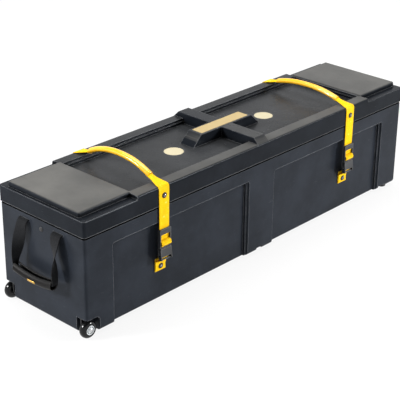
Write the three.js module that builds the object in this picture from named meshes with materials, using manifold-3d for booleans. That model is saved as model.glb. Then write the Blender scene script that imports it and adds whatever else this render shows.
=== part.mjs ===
// A long two-piece drum hardware case: a moulded tub on two corner wheels, a lift-off lid
// with a sunk tray and a cross-shaped boss, two webbing straps that end in side-release
// buckles, and a webbing handle with a rubber grip on each end.
// Millimetres, +Z up. X runs along the case, with the wheels at the -X end, and the front
// is -Y. The origin is on the floor under the middle of the case.

import * as THREE from 'three';
import { mergeVertices } from 'three/addons/utils/BufferGeometryUtils.js';
import Module from 'manifold-3d';

const wasm = await Module();
wasm.setup();

// Driving dimensions
const caseLength = 1300;
const caseWidth = 317;
const floorGap = 10;
const tubHeight = 265;
const grooveHeight = 4;
const skirtHeight = 44;
const crownHeight = 54;
const touchGap = 0.3;
const overrun = 30;

// Tub shell
const tubInset = 2;
const tubWall = 5;
const cornerRadius = 8;
const leastRadiusShare = 0.2;
const tubBottomRadius = 10;
const rimSeatInset = 4.5;
const lipInset = 7;
const lipThickness = 4;
const lipHeight = 17;
const lipTaper = 3;

// Recessed panels of the long sides, open at the bottom
const middlePillar = 104;
const endPillar = 94;
const panelDrop = 39;
const panelDepth = 14;
const panelTier = 7;
const panelLedge = 5;
const panelDraft = 2;
const panelRadius = 7;

// Channels across the underside
const channelWidth = 30;
const channelDepth = 9;
const channelFromEnd = 73;

// Lid shell
const skirtThickness = 5.5;
const lidWall = 5;
const beadRadius = 1.5;
const ledgeWidth = 27;
const ledgeRadius = 3;
const plateauLength = 181;
const plateauEndInset = 9;
const plateauRise = 4;
const plateauRadius = 6;
const railStart = 177;
const railWidth = 36;
const railRadius = 6.5;
const trayDepth = 15;
const trayTier = 7;
const trayStep = 4;
const trayRadius = 8;

// Cross-shaped boss of the lid
const bossHeight = 30.5;
const bossFootLength = 268;
const bossTopLength = 204;
const bossFootWidth = 50;
const bossTopWidth = 46;
const bossBevel = 2;
const crossFootWidth = 44;
const crossTopWidth = 40;
const crossEndRun = 17;
const crossEndInset = 1;

// Nameplate and badge discs, all bare
const plateLength = 188;
const plateWidth = 36;
const plateThickness = 1.4;
const plateRadius = 2;
const plateRimWidth = 1.5;
const plateRimHeight = 0.5;
const discRadius = 27;
const discThickness = 1.5;
const discRecess = 2.5;
const discOffset = 184;

// Straps
const strapOffset = 383;
const webbingWidth = 38;
const webbingThickness = 2;
const loopReach = 112;
const loopWidth = 19;
const loopThickness = 15;
const widenPower = 0.6;
const flattenPower = 0.45;
const archPower = 2.2;
const rampPower = 1.15;
const rampShares = [0, 0.2, 0.4, 0.6, 0.8];
const leftLoopRise = 13;
const leftLoopCrown = 27;
const rightLoopRise = 10.5;
const rightLoopCrown = 16;

// Side-release buckles: heights are measured down from the lid's lower edge
const buckleWidth = 39;
const buckleWebbingWidth = 32;
const plugTop = 63;
const plugBarHeight = 15;
const plugWindowHeight = 26;
const plugMidBarHeight = 4;
const plugMidBarThickness = 3;
const plugSlotHeight = 4;
const plugBaseHeight = 3.5;
const plugRail = 3;
const plugThickness = 8.7;
const tongueWidth = 7;
const tongueLength = 17;
const tongueThickness = 4.5;
const prongWidth = 4;
const prongLength = 22;
const prongOffset = 12.3;
const prongPivotGap = 0.6;
const barbLength = 8;
const barbReach = 19;
const bodyLength = 34.5;
const bodyThickness = 11.6;
const bodyWall = 3;
const bodySlotHeight = 4.5;
const bodyEndWall = 2.5;
const bodyBarRadius = 2.2;

// Webbing tab that anchors each buckle to the tub
const tabLength = 26;
const tabRivetFromEnd = 13;
const tabBendShare = 0.8;

// Rivets
const rivetShankRadius = 1.6;
const rivetWasherRadius = 8;
const rivetWasherThickness = 1.2;
const rivetHeadRadius = 4.6;
const rivetHeadHeight = 3;
const rivetHeadShares = [0, 0.55, 1];
const rivetTailRadius = 6.5;
const rivetTailThickness = 2;
const strapRivetHeight = 28;

// Corner wheels
const wheelRadius = 23.5;
const wheelWidth = 22;
const wheelFromEnd = 15;
const wheelFaceInset = 3;
const tyreShoulder = 9.5;
const hubRadius = 12.5;
const hubDish = 2.5;
const hubLip = 1.5;
const axleRadius = 4;
const axleClearance = 0.1;
const axleHeadRadius = 6.5;
const axleHeadHeight = 2.5;
const domeEdgeShares = [0.7, 0.8];
const axleNutRadius = 6.5;
const axleNutHeight = 4.5;
const bracketGap = 2;
const bracketThickness = 3;
const bracketWidth = 18;
const bracketFlange = 9;
const wellLength = 44;
const wellDepth = 37.5;
const wellHeight = 43;
const wellRadius = 12;

// Feet at the other end
const footRadius = 14;
const footFromEnd = 36;
const footFromSide = 27;
const footTaper = 2;

// End handles
const handleWebbingWidth = 34;
const handleAnchorSpacing = 125;
const handleAnchorDrop = 19;
const handlePivotStandoff = 5.5;
const handleSlotGap = 1;
const legBulge = 14;
const gripDrop = 128;
const gripStandoff = 27;
const gripHalfLength = 66;
const gripSag = 7;
const gripRadius = 14;
const gripWall = 4;
const gripSlit = 7;
const gripCoreWidth = 15;
const gripCoreThickness = 5;
const gripOverhang = 5;
const backPlateLength = 176;
const backPlateHeight = 25;
const backPlateThickness = 3;
const knotThickness = 8;
const knotLength = 6;
const plateStudDrop = 9;

// Webbing sections
const flatPower = 0.2;

// Mesh fineness
const cornerSteps = 3;
const roundSteps = 3;
const turnedSteps = 16;
const wheelSteps = 32;
const flatPoints = 4;
const strapPoints = 8;
const loopPoints = 12;
const loopSteps = 20;
const gripSteps = 10;
const quarterTurn = 90;

// Levels and faces worked out from the dimensions
const halfLength = caseLength / 2;
const halfWidth = caseWidth / 2;
const shoulderLevel = floorGap + tubHeight;
const lidLevel = shoulderLevel + grooveHeight;
const ledgeLevel = lidLevel + skirtHeight;
const crownLevel = lidLevel + crownHeight;
const plateauLevel = crownLevel + plateauRise;
const trayLevel = crownLevel - trayDepth;
const bossLevel = trayLevel + bossHeight;
const tubHalfLength = halfLength - tubInset;
const tubHalfWidth = halfWidth - tubInset;
const panelFloor = tubHalfWidth - panelDepth;
const loopAxisLevel = (rise) => crownLevel + rise;

// Materials
function material(color, roughness, metalness) {
  return new THREE.MeshStandardMaterial({ color, roughness, metalness });
}
const blackShell = material(0x2b2e33, 0.5, 0);
const blackPlastic = material(0x1f2124, 0.45, 0);
const blackRubber = material(0x191a1c, 0.6, 0);
const blackWebbing = material(0x202226, 0.85, 0);
const yellowWebbing = material(0xffd400, 0.7, 0);
const goldPlate = material(0xe0cd92, 0.3, 0.6);
const blackRivet = material(0x17181a, 0.3, 0.4);
const steel = material(0x9a9da1, 0.35, 0.9);
const whiteNylon = material(0xd8dcdd, 0.4, 0);

// Solids: a closed triangle mesh goes to the boolean library and comes back as geometry
function signedVolume(positions, faces) {
  let sum = 0;
  const corner = (i) => new THREE.Vector3().fromArray(positions, 3 * i);
  for (let i = 0; i < faces.length; i += 3) {
    sum += corner(faces[i]).dot(corner(faces[i + 1]).cross(corner(faces[i + 2])));
  }
  return sum;
}

function solidOf(geometry) {
  const bare = geometry.clone();
  bare.deleteAttribute('normal');
  bare.deleteAttribute('uv');
  const merged = mergeVertices(bare);
  const positions = Float32Array.from(merged.attributes.position.array);
  const faces = Uint32Array.from(merged.index.array);
  if (signedVolume(positions, faces) < 0) {
    for (let i = 0; i < faces.length; i += 3) {
      [faces[i + 1], faces[i + 2]] = [faces[i + 2], faces[i + 1]];
    }
  }
  return new wasm.Manifold(
    new wasm.Mesh({ numProp: 3, vertProperties: positions, triVerts: faces }),
  );
}

function geometryOf(solid) {
  const mesh = solid.getMesh();
  const geometry = new THREE.BufferGeometry();
  geometry.setAttribute('position', new THREE.BufferAttribute(mesh.vertProperties, 3));
  geometry.setIndex(new THREE.BufferAttribute(mesh.triVerts, 1));
  geometry.computeVertexNormals();
  return geometry;
}

function join(...solids) {
  return solids.reduce((all, next) => all.add(next));
}

function cut(base, ...tools) {
  return tools.reduce((left, tool) => left.subtract(tool), base);
}

// A solid through a row of rings that share one outline
function loft(rings, outline) {
  if (THREE.ShapeUtils.isClockWise(outline)) {
    return loft(rings.map((ring) => [...ring].reverse()), [...outline].reverse());
  }
  const count = outline.length;
  const positions = rings.flat().flatMap((point) => point.toArray());
  const last = (rings.length - 1) * count;
  const faces = [];
  for (let ring = 0; ring < rings.length - 1; ring += 1) {
    for (let i = 0; i < count; i += 1) {
      const a = ring * count + i;
      const b = ring * count + ((i + 1) % count);
      faces.push(a, b, b + count, a, b + count, a + count);
    }
  }
  for (const [a, b, c] of THREE.ShapeUtils.triangulateShape(outline, [])) {
    faces.push(a, c, b, last + a, last + b, last + c);
  }
  const geometry = new THREE.BufferGeometry();
  geometry.setAttribute('position', new THREE.Float32BufferAttribute(positions, 3));
  geometry.setIndex(faces);
  return solidOf(geometry);
}

// A rectangle with round corners, as points in order
function roundedRectangle(halfX, halfY, radius) {
  const points = [];
  const signs = [[1, 1], [-1, 1], [-1, -1], [1, -1]];
  signs.forEach(([signX, signY], quarter) => {
    for (let step = 0; step <= cornerSteps; step += 1) {
      const angle = (quarter + step / cornerSteps) * Math.PI / 2;
      points.push(new THREE.Vector2(
        signX * (halfX - radius) + radius * Math.cos(angle),
        signY * (halfY - radius) + radius * Math.sin(angle),
      ));
    }
  });
  return points;
}

// A block on a rounded rectangle whose rings step in by an inset at each level
function block(halfX, halfY, radius, levels, centre = [0, 0]) {
  const least = radius * leastRadiusShare;
  const outline = roundedRectangle(halfX, halfY, radius);
  const rings = levels.map(([level, inset]) => {
    const ring = roundedRectangle(halfX - inset, halfY - inset, Math.max(radius - inset, least));
    return ring.map(({ x, y }) => new THREE.Vector3(x + centre[0], y + centre[1], level));
  });
  return loft(rings, outline);
}

// Levels of a round-over below a top, or above a bottom
function roundOver(top, radius, inset = 0) {
  return Array.from({ length: roundSteps + 1 }, (_, step) => {
    const angle = (step / roundSteps) * Math.PI / 2;
    return [top - radius + radius * Math.sin(angle), inset + radius * (1 - Math.cos(angle))];
  });
}

function roundUnder(bottom, radius, inset = 0) {
  return roundOver(-bottom, radius, inset).map(([level, step]) => [-level, step]).reverse();
}

// A straight-sided box between two corners
function box([x0, x1], [y0, y1], [z0, z1]) {
  const outline = [[x0, y0], [x1, y0], [x1, y1], [x0, y1]].map(([x, y]) => new THREE.Vector2(x, y));
  return loft([z0, z1].map((z) => outline.map(({ x, y }) => new THREE.Vector3(x, y, z))), outline);
}

// A bar whose rings are half sizes along X and Y at each level
function taperedBar(rings) {
  const corners = [[1, 1], [-1, 1], [-1, -1], [1, -1]];
  const outline = corners.map(([x, y]) => new THREE.Vector2(x, y));
  const loops = rings.map(([level, halfX, halfY]) => (
    corners.map(([x, y]) => new THREE.Vector3(x * halfX, y * halfY, level))
  ));
  return loft(loops, outline);
}

// A prism drawn in the X-Z or Y-Z plane and run along the third axis
function prismAlongY(outline, [y0, y1]) {
  return loft([y0, y1].map((y) => outline.map((p) => new THREE.Vector3(p.x, y, p.y))), outline);
}

function prismAlongX(outline, [x0, x1]) {
  return loft([x0, x1].map((x) => outline.map((p) => new THREE.Vector3(x, p.x, p.y))), outline);
}

// A solid turned about the Y axis, from a profile of [radius, place along Y]
function turnedAboutY(profile, steps = turnedSteps) {
  const points = profile.map(([radius, along]) => new THREE.Vector2(radius, along));
  return solidOf(new THREE.LatheGeometry(points, steps));
}

function moved(solid, x, y, z) {
  return solid.translate([x, y, z]);
}

// A pin along Y used to cut holes
function holeAlongY(radius, [y0, y1], x, z) {
  const profile = [[0, y0], [radius, y0], [radius, y1], [0, y1]];
  return moved(turnedAboutY(profile), x, 0, z);
}

// A section's outline of a given number of points, which starts half a step off its width
function sectionOutline(count) {
  return Array.from({ length: count }, (_, i) => {
    const angle = ((i + 0.5) / count) * 2 * Math.PI;
    return new THREE.Vector2(Math.cos(angle), Math.sin(angle));
  });
}

// The ring of a section that runs from a flat strip (shape 0) to a full oval (shape 1)
function sectionRing(outline, place, across, through, [halfAcross, halfThrough], shape) {
  const flat = outline.length > flatPoints ? flatPower : 0;
  const power = THREE.MathUtils.lerp(flat, 1, shape);
  const bend = (value) => Math.sign(value) * Math.abs(value) ** power;
  return outline.map(({ x, y }) => place.clone()
    .addScaledVector(across, halfAcross * bend(x))
    .addScaledVector(through, halfThrough * bend(y)));
}

// A strip of webbing that lies across X and follows places in the Y-Z plane. Each place has
// its own half sizes and shape, and the ends that are named square face straight along Y.
function crossStrip(path, count, halvesAt, shapeAt, squareEnds = []) {
  const across = new THREE.Vector3(1, 0, 0);
  const outline = sectionOutline(count);
  const last = path.length - 1;
  const places = path.map(([y, z]) => new THREE.Vector3(0, y, z));
  const rings = places.map((place, i) => {
    const along = places[Math.min(i + 1, last)].clone().sub(places[Math.max(i - 1, 0)]);
    if (squareEnds.includes(i)) {
      along.setZ(0);
    }
    const through = along.normalize().cross(across);
    return sectionRing(outline, place, across, through, halvesAt(i), shapeAt(i));
  });
  return loft(rings, outline);
}

function arcPoints(centre, radius, fromAngle, toAngle, steps) {
  return Array.from({ length: steps + 1 }, (_, i) => {
    const angle = THREE.MathUtils.lerp(fromAngle, toAngle, i / steps);
    return [centre[0] + radius * Math.cos(angle), centre[1] + radius * Math.sin(angle)];
  });
}

// Tub
function panelTool(halfX, centreX, top, depth, side) {
  const bottom = -overrun;
  const middle = (top + bottom) / 2;
  const halfZ = (top - bottom) / 2;
  const local = roundedRectangle(halfX, halfZ, panelRadius);
  const ring = (inset, y) => roundedRectangle(halfX - inset, halfZ - inset, panelRadius)
    .map((point) => new THREE.Vector3(centreX + point.x, side * y, middle + point.y));
  return loft([
    ring(0, tubHalfWidth + overrun),
    ring(0, tubHalfWidth),
    ring(panelDraft, tubHalfWidth - depth),
  ], local);
}

function panelPair(grow, side) {
  const inner = middlePillar / 2 - grow;
  const outer = halfLength - endPillar + grow;
  const top = shoulderLevel - panelDrop + grow;
  const halfX = (outer - inner) / 2;
  const centreX = (outer + inner) / 2;
  return [-centreX, centreX].flatMap((x) => [
    panelTool(halfX, x, top, panelTier + grow, side),
    panelTool(halfX - panelLedge, x, top - panelLedge, panelDepth + grow, side),
  ]);
}

function wellTool(grow, side) {
  const halfX = (wellLength + grow + overrun) / 2;
  const halfZ = (wellHeight + grow + overrun) / 2;
  const centreX = -tubHalfLength - overrun + halfX;
  const centreZ = floorGap - overrun + halfZ;
  const outline = roundedRectangle(halfX, halfZ, wellRadius)
    .map(({ x, y }) => new THREE.Vector2(x + centreX, y + centreZ));
  const reach = [tubHalfWidth - wellDepth - grow, tubHalfWidth + overrun];
  return prismAlongY(outline, reach.map((y) => side * y));
}

function channelTool(grow, x) {
  const halfX = channelWidth / 2 + grow;
  const top = floorGap + channelDepth + grow;
  const ring = [[-overrun, halfX], [top, halfX - panelDraft]];
  return moved(taperedBar(ring.map(([z, half]) => [z, half, halfWidth])), x, 0, 0);
}

function tubSolid() {
  const sides = [-1, 1];
  const channels = [0, halfLength - channelFromEnd];
  const outer = join(
    block(tubHalfLength, tubHalfWidth, cornerRadius, [
      ...roundUnder(floorGap, tubBottomRadius),
      [shoulderLevel - panelDraft, 0],
      [shoulderLevel, panelDraft / 2],
    ]),
    block(halfLength - rimSeatInset, halfWidth - rimSeatInset, cornerRadius, [
      [shoulderLevel - tubWall, 0],
      [lidLevel - touchGap, 0],
    ]),
    block(halfLength - lipInset, halfWidth - lipInset, cornerRadius, [
      [shoulderLevel - tubWall, 0],
      [lidLevel + lipHeight, 0],
    ]),
  );
  const lipReach = lipInset + lipThickness - tubInset - tubWall;
  const cavity = cut(
    block(tubHalfLength - tubWall, tubHalfWidth - tubWall, cornerRadius, [
      ...roundUnder(floorGap + tubWall, tubBottomRadius),
      [shoulderLevel - tubWall - lipTaper, 0],
      [shoulderLevel - tubWall, lipReach],
      [lidLevel + lipHeight + overrun, lipReach],
    ]),
    ...sides.flatMap((side) => [...panelPair(tubWall, side), wellTool(tubWall, side)]),
    ...channels.map((x) => channelTool(tubWall, x)),
  );
  const slotHalfWidth = handleWebbingWidth / 2 + handleSlotGap;
  const slots = [-1, 1].flatMap((end) => sides.map((side) => {
    const y = side * handleAnchorSpacing / 2;
    const reach = [tubHalfLength - tubWall - overrun, tubHalfLength + overrun];
    return box(
      reach.map((x) => end * x),
      [y - slotHalfWidth, y + slotHalfWidth],
      [handleSlotLevel - webbingThickness, handleSlotLevel + webbingThickness],
    );
  }));
  const studs = [-1, 1].map((end) => {
    const reach = [tubHalfLength - overrun, tubHalfLength + overrun];
    const pin = holeAlongY(rivetShankRadius + touchGap, reach, 0, 0);
    return moved(pin.rotate([0, 0, -quarterTurn * end]), 0, 0, handleSlotLevel - plateStudDrop);
  });
  const rivets = sides.flatMap((side) => [-1, 1].map((end) => holeAlongY(
    rivetShankRadius + touchGap,
    [side * (panelFloor - overrun), side * (panelFloor + overrun)],
    end * strapOffset,
    tabRivetLevel,
  )));
  return cut(
    outer,
    cavity,
    ...sides.flatMap((side) => [...panelPair(0, side), wellTool(0, side)]),
    ...channels.map((x) => channelTool(0, x)),
    ...slots,
    ...studs,
    ...rivets,
  );
}

// Lid
function railOutline(inset, bottom) {
  const half = halfWidth - inset;
  const top = crownLevel - (inset > 0 ? lidWall : 0);
  const radius = railRadius - inset;
  const right = arcPoints([half - radius, top - radius], radius, 0, Math.PI / 2, roundSteps);
  const left = right.map(([y, z]) => [-y, z]).reverse();
  return [[half, bottom], ...right, ...left, [-half, bottom]]
    .map(([y, z]) => new THREE.Vector2(y, z));
}

function trayTools(grow, top) {
  const halfX = halfLength - plateauLength + grow;
  const halfY = halfWidth - railWidth + grow;
  return [
    block(halfX, halfY, trayRadius, [[crownLevel - trayTier - grow, 0], [top, 0]]),
    block(halfX - trayStep, halfY - trayStep, trayRadius, [[trayLevel - grow, 0], [top, 0]]),
  ];
}

function bossBars(inset, bottom, bevel) {
  const top = bossLevel - inset;
  const footX = bossFootLength / 2 - inset;
  const topX = bossTopLength / 2 - inset;
  const footY = bossFootWidth / 2 - inset;
  const topY = bossTopWidth / 2 - inset;
  const crossTopY = halfWidth - crossEndInset - crossEndRun - inset;
  const crossFootY = crossTopY + crossEndRun;
  const crossFootX = crossFootWidth / 2 - inset;
  const crossTopX = crossTopWidth / 2 - inset;
  const crossFoot = top - crossEndRun;
  return [
    taperedBar([
      [bottom, footX, footY],
      [trayLevel - inset, footX, footY],
      [top - bevel, topX + bevel, topY + bevel / 2],
      [top, topX, topY],
    ]),
    taperedBar([
      [bottom, crossFootX, crossFootY],
      [crossFoot, crossFootX, crossFootY],
      [top - bevel, crossTopX + bevel / 2, crossTopY + bevel],
      [top, crossTopX, crossTopY],
    ]),
  ];
}

function lidSolid() {
  const railHalf = halfLength - railStart;
  const plateauHalfX = (plateauLength - plateauEndInset) / 2;
  const plateauX = halfLength - plateauEndInset - plateauHalfX;
  const plateauHalfY = halfWidth - ledgeWidth;
  const plateau = (inset, bottom, levels, x) => block(
    plateauHalfX - inset,
    plateauHalfY - inset,
    plateauRadius,
    [[bottom, 0], ...levels],
    [x, 0],
  );
  const outer = cut(
    join(
      block(halfLength, halfWidth, cornerRadius, [
        ...roundUnder(lidLevel, beadRadius),
        [lidLevel + 2 * beadRadius, beadRadius / 3],
        ...roundOver(ledgeLevel, ledgeRadius),
      ]),
      prismAlongX(railOutline(0, ledgeLevel - lidWall), [-railHalf, railHalf]),
      ...[-plateauX, plateauX].map((x) => (
        plateau(0, ledgeLevel - lidWall, roundOver(plateauLevel, plateauRadius), x)
      )),
    ),
    ...trayTools(0, plateauLevel + overrun),
  );
  const room = cut(
    join(
      block(halfLength - skirtThickness, halfWidth - skirtThickness, cornerRadius, [
        [lidLevel - overrun, 0],
        [ledgeLevel - lidWall, 0],
      ]),
      prismAlongX(
        railOutline(skirtThickness, ledgeLevel - 2 * lidWall),
        [-railHalf + lidWall, railHalf - lidWall],
      ),
      ...[-plateauX, plateauX].map((x) => (
        plateau(lidWall, ledgeLevel - 2 * lidWall, [[plateauLevel - lidWall, 0]], x)
      )),
    ),
    ...trayTools(lidWall, plateauLevel),
  );
  const shell = cut(
    join(outer, ...bossBars(0, trayLevel - lidWall / 2, bossBevel)),
    room,
    ...bossBars(lidWall, lidLevel, 0),
  );
  const sides = [-1, 1];
  const holes = sides.flatMap((side) => [-1, 1].map((end) => holeAlongY(
    rivetShankRadius + touchGap,
    [side * (halfWidth - overrun), side * (halfWidth + overrun)],
    end * strapOffset,
    lidLevel + strapRivetHeight,
  )));
  const discSeats = [-1, 1].map((end) => moved(
    turnedAboutY([
      [0, 0],
      [discRadius + touchGap, 0],
      [discRadius + touchGap, overrun],
      [0, overrun],
    ], wheelSteps).rotate([quarterTurn, 0, 0]),
    end * discOffset,
    0,
    trayLevel - discRecess,
  ));
  const plateSeat = block(
    plateLength / 2 + touchGap,
    plateWidth / 2 + touchGap,
    plateRadius,
    [[bossLevel - plateThickness, 0], [bossLevel + overrun, 0]],
  );
  return cut(shell, ...holes, ...discSeats, plateSeat);
}

function nameplateSolid() {
  const base = bossLevel - plateThickness + touchGap;
  const top = bossLevel + plateRimHeight;
  const sink = [[bossLevel, 0], [top + overrun, 0]];
  return cut(
    block(plateLength / 2, plateWidth / 2, plateRadius, [[base, 0], [top, 0]]),
    block(plateLength / 2 - plateRimWidth, plateWidth / 2 - plateRimWidth, plateRadius, sink),
  );
}

function badgeDiscSolid() {
  const edge = discThickness / 4;
  const profile = [
    [0, 0],
    [discRadius, 0],
    [discRadius, discThickness - edge],
    [discRadius - edge, discThickness],
    [0, discThickness],
  ];
  return turnedAboutY(profile, wheelSteps).rotate([quarterTurn, 0, 0]);
}

// Straps, drawn for the front side of one station
const strapFace = -(halfWidth + touchGap + webbingThickness / 2);
const plugFront = strapFace - webbingThickness / 2 - 2 * touchGap - plugThickness / 2;
const plugBack = plugFront + plugThickness;
const plugTopLevel = lidLevel - plugTop;
const plugWindowLevel = plugTopLevel - plugBarHeight;
const midBarLevel = plugWindowLevel - plugWindowHeight;
const plugSlotLevel = midBarLevel - plugMidBarHeight;
const plugBaseLevel = plugSlotLevel - plugSlotHeight;
const plugEndLevel = plugBaseLevel - plugBaseHeight;
const bodyTopLevel = plugEndLevel - touchGap;
const bodyEndLevel = bodyTopLevel - bodyLength;
const tongueMiddle = (plugFront + plugBack) / 2;
const midBarFront = tongueMiddle - plugMidBarThickness / 2;
const midBarBack = tongueMiddle + plugMidBarThickness / 2;
const wrapRadius = plugMidBarThickness / 2 + touchGap + webbingThickness / 2;
const bodyBarLevel = bodyEndLevel + bodyBarRadius;
const tabFloor = -(panelFloor + touchGap + webbingThickness / 2);
const tabEndLevel = bodyEndLevel - bodyThickness - tabLength;
const tabRivetLevel = tabEndLevel + tabRivetFromEnd;
const handleSlotLevel = lidLevel - handleAnchorDrop;

function loopHeight(reachShare, rise, crown) {
  return loopAxisLevel(rise) + crown * (1 - Math.abs(reachShare) ** archPower);
}

function loopSolid(rise, crown) {
  const reach = loopReach - touchGap;
  const path = Array.from({ length: loopSteps + 1 }, (_, i) => {
    const share = THREE.MathUtils.lerp(-1, 1, i / loopSteps);
    return [share * reach, loopHeight(share, rise, crown)];
  });
  const halves = [loopWidth / 2, loopThickness / 2];
  return crossStrip(path, loopPoints, () => halves, () => 1, [0, loopSteps]);
}

function strapSolid(rise) {
  const turn = [-(halfWidth - railRadius), crownLevel - railRadius];
  const turnRadius = railRadius + touchGap + webbingThickness / 2;
  const start = [-loopReach, loopAxisLevel(rise)];
  const flatStart = [turn[0] + railRadius / 2, turn[1] + turnRadius];
  const ramp = rampShares.map((share) => [
    THREE.MathUtils.lerp(start[0], flatStart[0], share),
    THREE.MathUtils.lerp(start[1], flatStart[1], 1 - (1 - share) ** rampPower),
  ]);
  const overRail = arcPoints(turn, turnRadius, Math.PI / 2, Math.PI, roundSteps + 2);
  const down = [
    [strapFace, lidLevel],
    [strapFace, plugTopLevel - plugBarHeight / 2],
    [strapFace, plugWindowLevel],
  ];
  const wrapCentre = [tongueMiddle, plugSlotLevel + plugMidBarThickness / 2];
  const front = tongueMiddle - wrapRadius;
  const forward = [
    [(strapFace + front) / 2, plugWindowLevel - plugWindowHeight / 4],
    [front, plugWindowLevel - plugWindowHeight / 2],
    [front, midBarLevel],
  ];
  const wrap = arcPoints(wrapCentre, wrapRadius, Math.PI, 2 * Math.PI, roundSteps + 2);
  const tail = [[tongueMiddle + wrapRadius, midBarLevel + webbingThickness]];
  const path = [...ramp, flatStart, ...overRail, ...down, ...forward, ...wrap, ...tail];
  const flatness = (i) => Math.min(i / rampShares.length, 1);
  const narrowness = (level) => THREE.MathUtils.clamp(
    (turn[1] - level) / (turn[1] - plugTopLevel),
    0,
    1,
  );
  const halves = (i) => {
    const laid = THREE.MathUtils.lerp(webbingWidth, buckleWebbingWidth, narrowness(path[i][1]));
    return [
      THREE.MathUtils.lerp(loopWidth, laid, flatness(i) ** widenPower) / 2,
      THREE.MathUtils.lerp(loopThickness, webbingThickness, flatness(i) ** flattenPower) / 2,
    ];
  };
  const strip = crossStrip(path, strapPoints, halves, (i) => 1 - flatness(i), [0]);
  return cut(strip, holeAlongY(
    rivetShankRadius + touchGap,
    [strapFace - overrun, strapFace + overrun],
    0,
    lidLevel + strapRivetHeight,
  ));
}

function rivetSolid(outerFace, innerFace) {
  const washerOut = outerFace - touchGap - rivetWasherThickness;
  const tailIn = innerFace + touchGap;
  const dome = rivetHeadShares.map((share) => [
    rivetHeadRadius * Math.sin(share * Math.PI / 2),
    washerOut - rivetHeadHeight * Math.cos(share * Math.PI / 2),
  ]);
  return turnedAboutY([
    ...dome,
    [rivetWasherRadius - rivetWasherThickness / 2, washerOut],
    [rivetWasherRadius, washerOut + rivetWasherThickness / 2],
    [rivetWasherRadius, outerFace - touchGap],
    [rivetShankRadius, outerFace - touchGap],
    [rivetShankRadius, tailIn],
    [rivetTailRadius, tailIn],
    [rivetTailRadius, tailIn + rivetTailThickness],
    [0, tailIn + rivetTailThickness],
  ]);
}

function plugSolid() {
  const half = buckleWidth / 2;
  const inner = half - plugRail;
  const depth = [plugFront, plugBack];
  const barDepth = [plugFront, strapFace - webbingThickness / 2 - touchGap];
  const midDepth = [midBarFront, midBarBack];
  const midLevels = [plugSlotLevel + plugMidBarThickness / 4, midBarLevel];
  const tongueLevels = [plugEndLevel - tongueLength, plugBaseLevel];
  const tongueDepth = [tongueMiddle - tongueThickness / 2, tongueMiddle + tongueThickness / 2];
  const plate = prismAlongY(
    roundedRectangle(half, (plugTopLevel - plugEndLevel) / 2, plugRail)
      .map(({ x, y }) => new THREE.Vector2(x, y + (plugTopLevel + plugEndLevel) / 2)),
    depth,
  );
  const frame = cut(plate, box(
    [-inner, inner],
    [plugFront - overrun, plugBack + overrun],
    [plugBaseLevel, plugTopLevel + overrun],
  ));
  return join(
    frame,
    box([-half + plugRail / 2, half - plugRail / 2], barDepth, [plugWindowLevel, plugTopLevel]),
    box([-inner - touchGap, inner + touchGap], midDepth, midLevels),
    box([-tongueWidth / 2, tongueWidth / 2], tongueDepth, tongueLevels),
  );
}

// One prong, with its pivot end at the top and its barb pointing to +X
function prongSolid() {
  const top = plugEndLevel - prongPivotGap;
  const tip = top - prongLength;
  const inner = prongOffset - prongWidth / 2;
  const outer = prongOffset + prongWidth / 2;
  const outline = [
    [inner, top],
    [inner, tip + prongWidth / 2],
    [inner + prongWidth / 2, tip],
    [outer, tip],
    [barbReach, tip + prongWidth],
    [barbReach, tip + barbLength],
    [outer, tip + barbLength + touchGap],
    [outer, top],
  ].map(([x, z]) => new THREE.Vector2(x, z));
  const depth = [tongueMiddle - tongueThickness / 2, tongueMiddle + tongueThickness / 2];
  return prismAlongY(outline, depth);
}

function buckleBodySolid() {
  const half = buckleWidth / 2;
  const front = tongueMiddle - bodyThickness / 2;
  const back = tongueMiddle + bodyThickness / 2;
  const cavityHalf = half - bodyWall;
  const cavityDepth = tongueThickness / 2 + 2 * touchGap;
  const slotTop = bodyBarLevel + bodyBarRadius + bodySlotHeight;
  const cavityEnd = slotTop + bodyEndWall;
  const windowTop = plugEndLevel - prongPivotGap - prongLength + barbLength + 2 * touchGap;
  const shell = prismAlongY(
    roundedRectangle(half, bodyLength / 2, bodyWall)
      .map(({ x, y }) => new THREE.Vector2(x, y + bodyTopLevel - bodyLength / 2)),
    [front, back],
  );
  const through = [front - overrun, back + overrun];
  const cavity = [tongueMiddle - cavityDepth, tongueMiddle + cavityDepth];
  const hollowed = cut(
    shell,
    box([-cavityHalf, cavityHalf], cavity, [cavityEnd, bodyTopLevel + overrun]),
    box([-half - overrun, half + overrun], cavity, [cavityEnd, windowTop]),
    box([-cavityHalf, cavityHalf], through, [bodyEndLevel - overrun, slotTop]),
  );
  const bar = turnedAboutY([
    [0, -cavityHalf - touchGap],
    [bodyBarRadius, -cavityHalf - touchGap],
    [bodyBarRadius, cavityHalf + touchGap],
    [0, cavityHalf + touchGap],
  ], loopPoints).rotate([0, 0, quarterTurn]);
  return join(hollowed, moved(bar, 0, tongueMiddle, bodyBarLevel));
}

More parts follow.
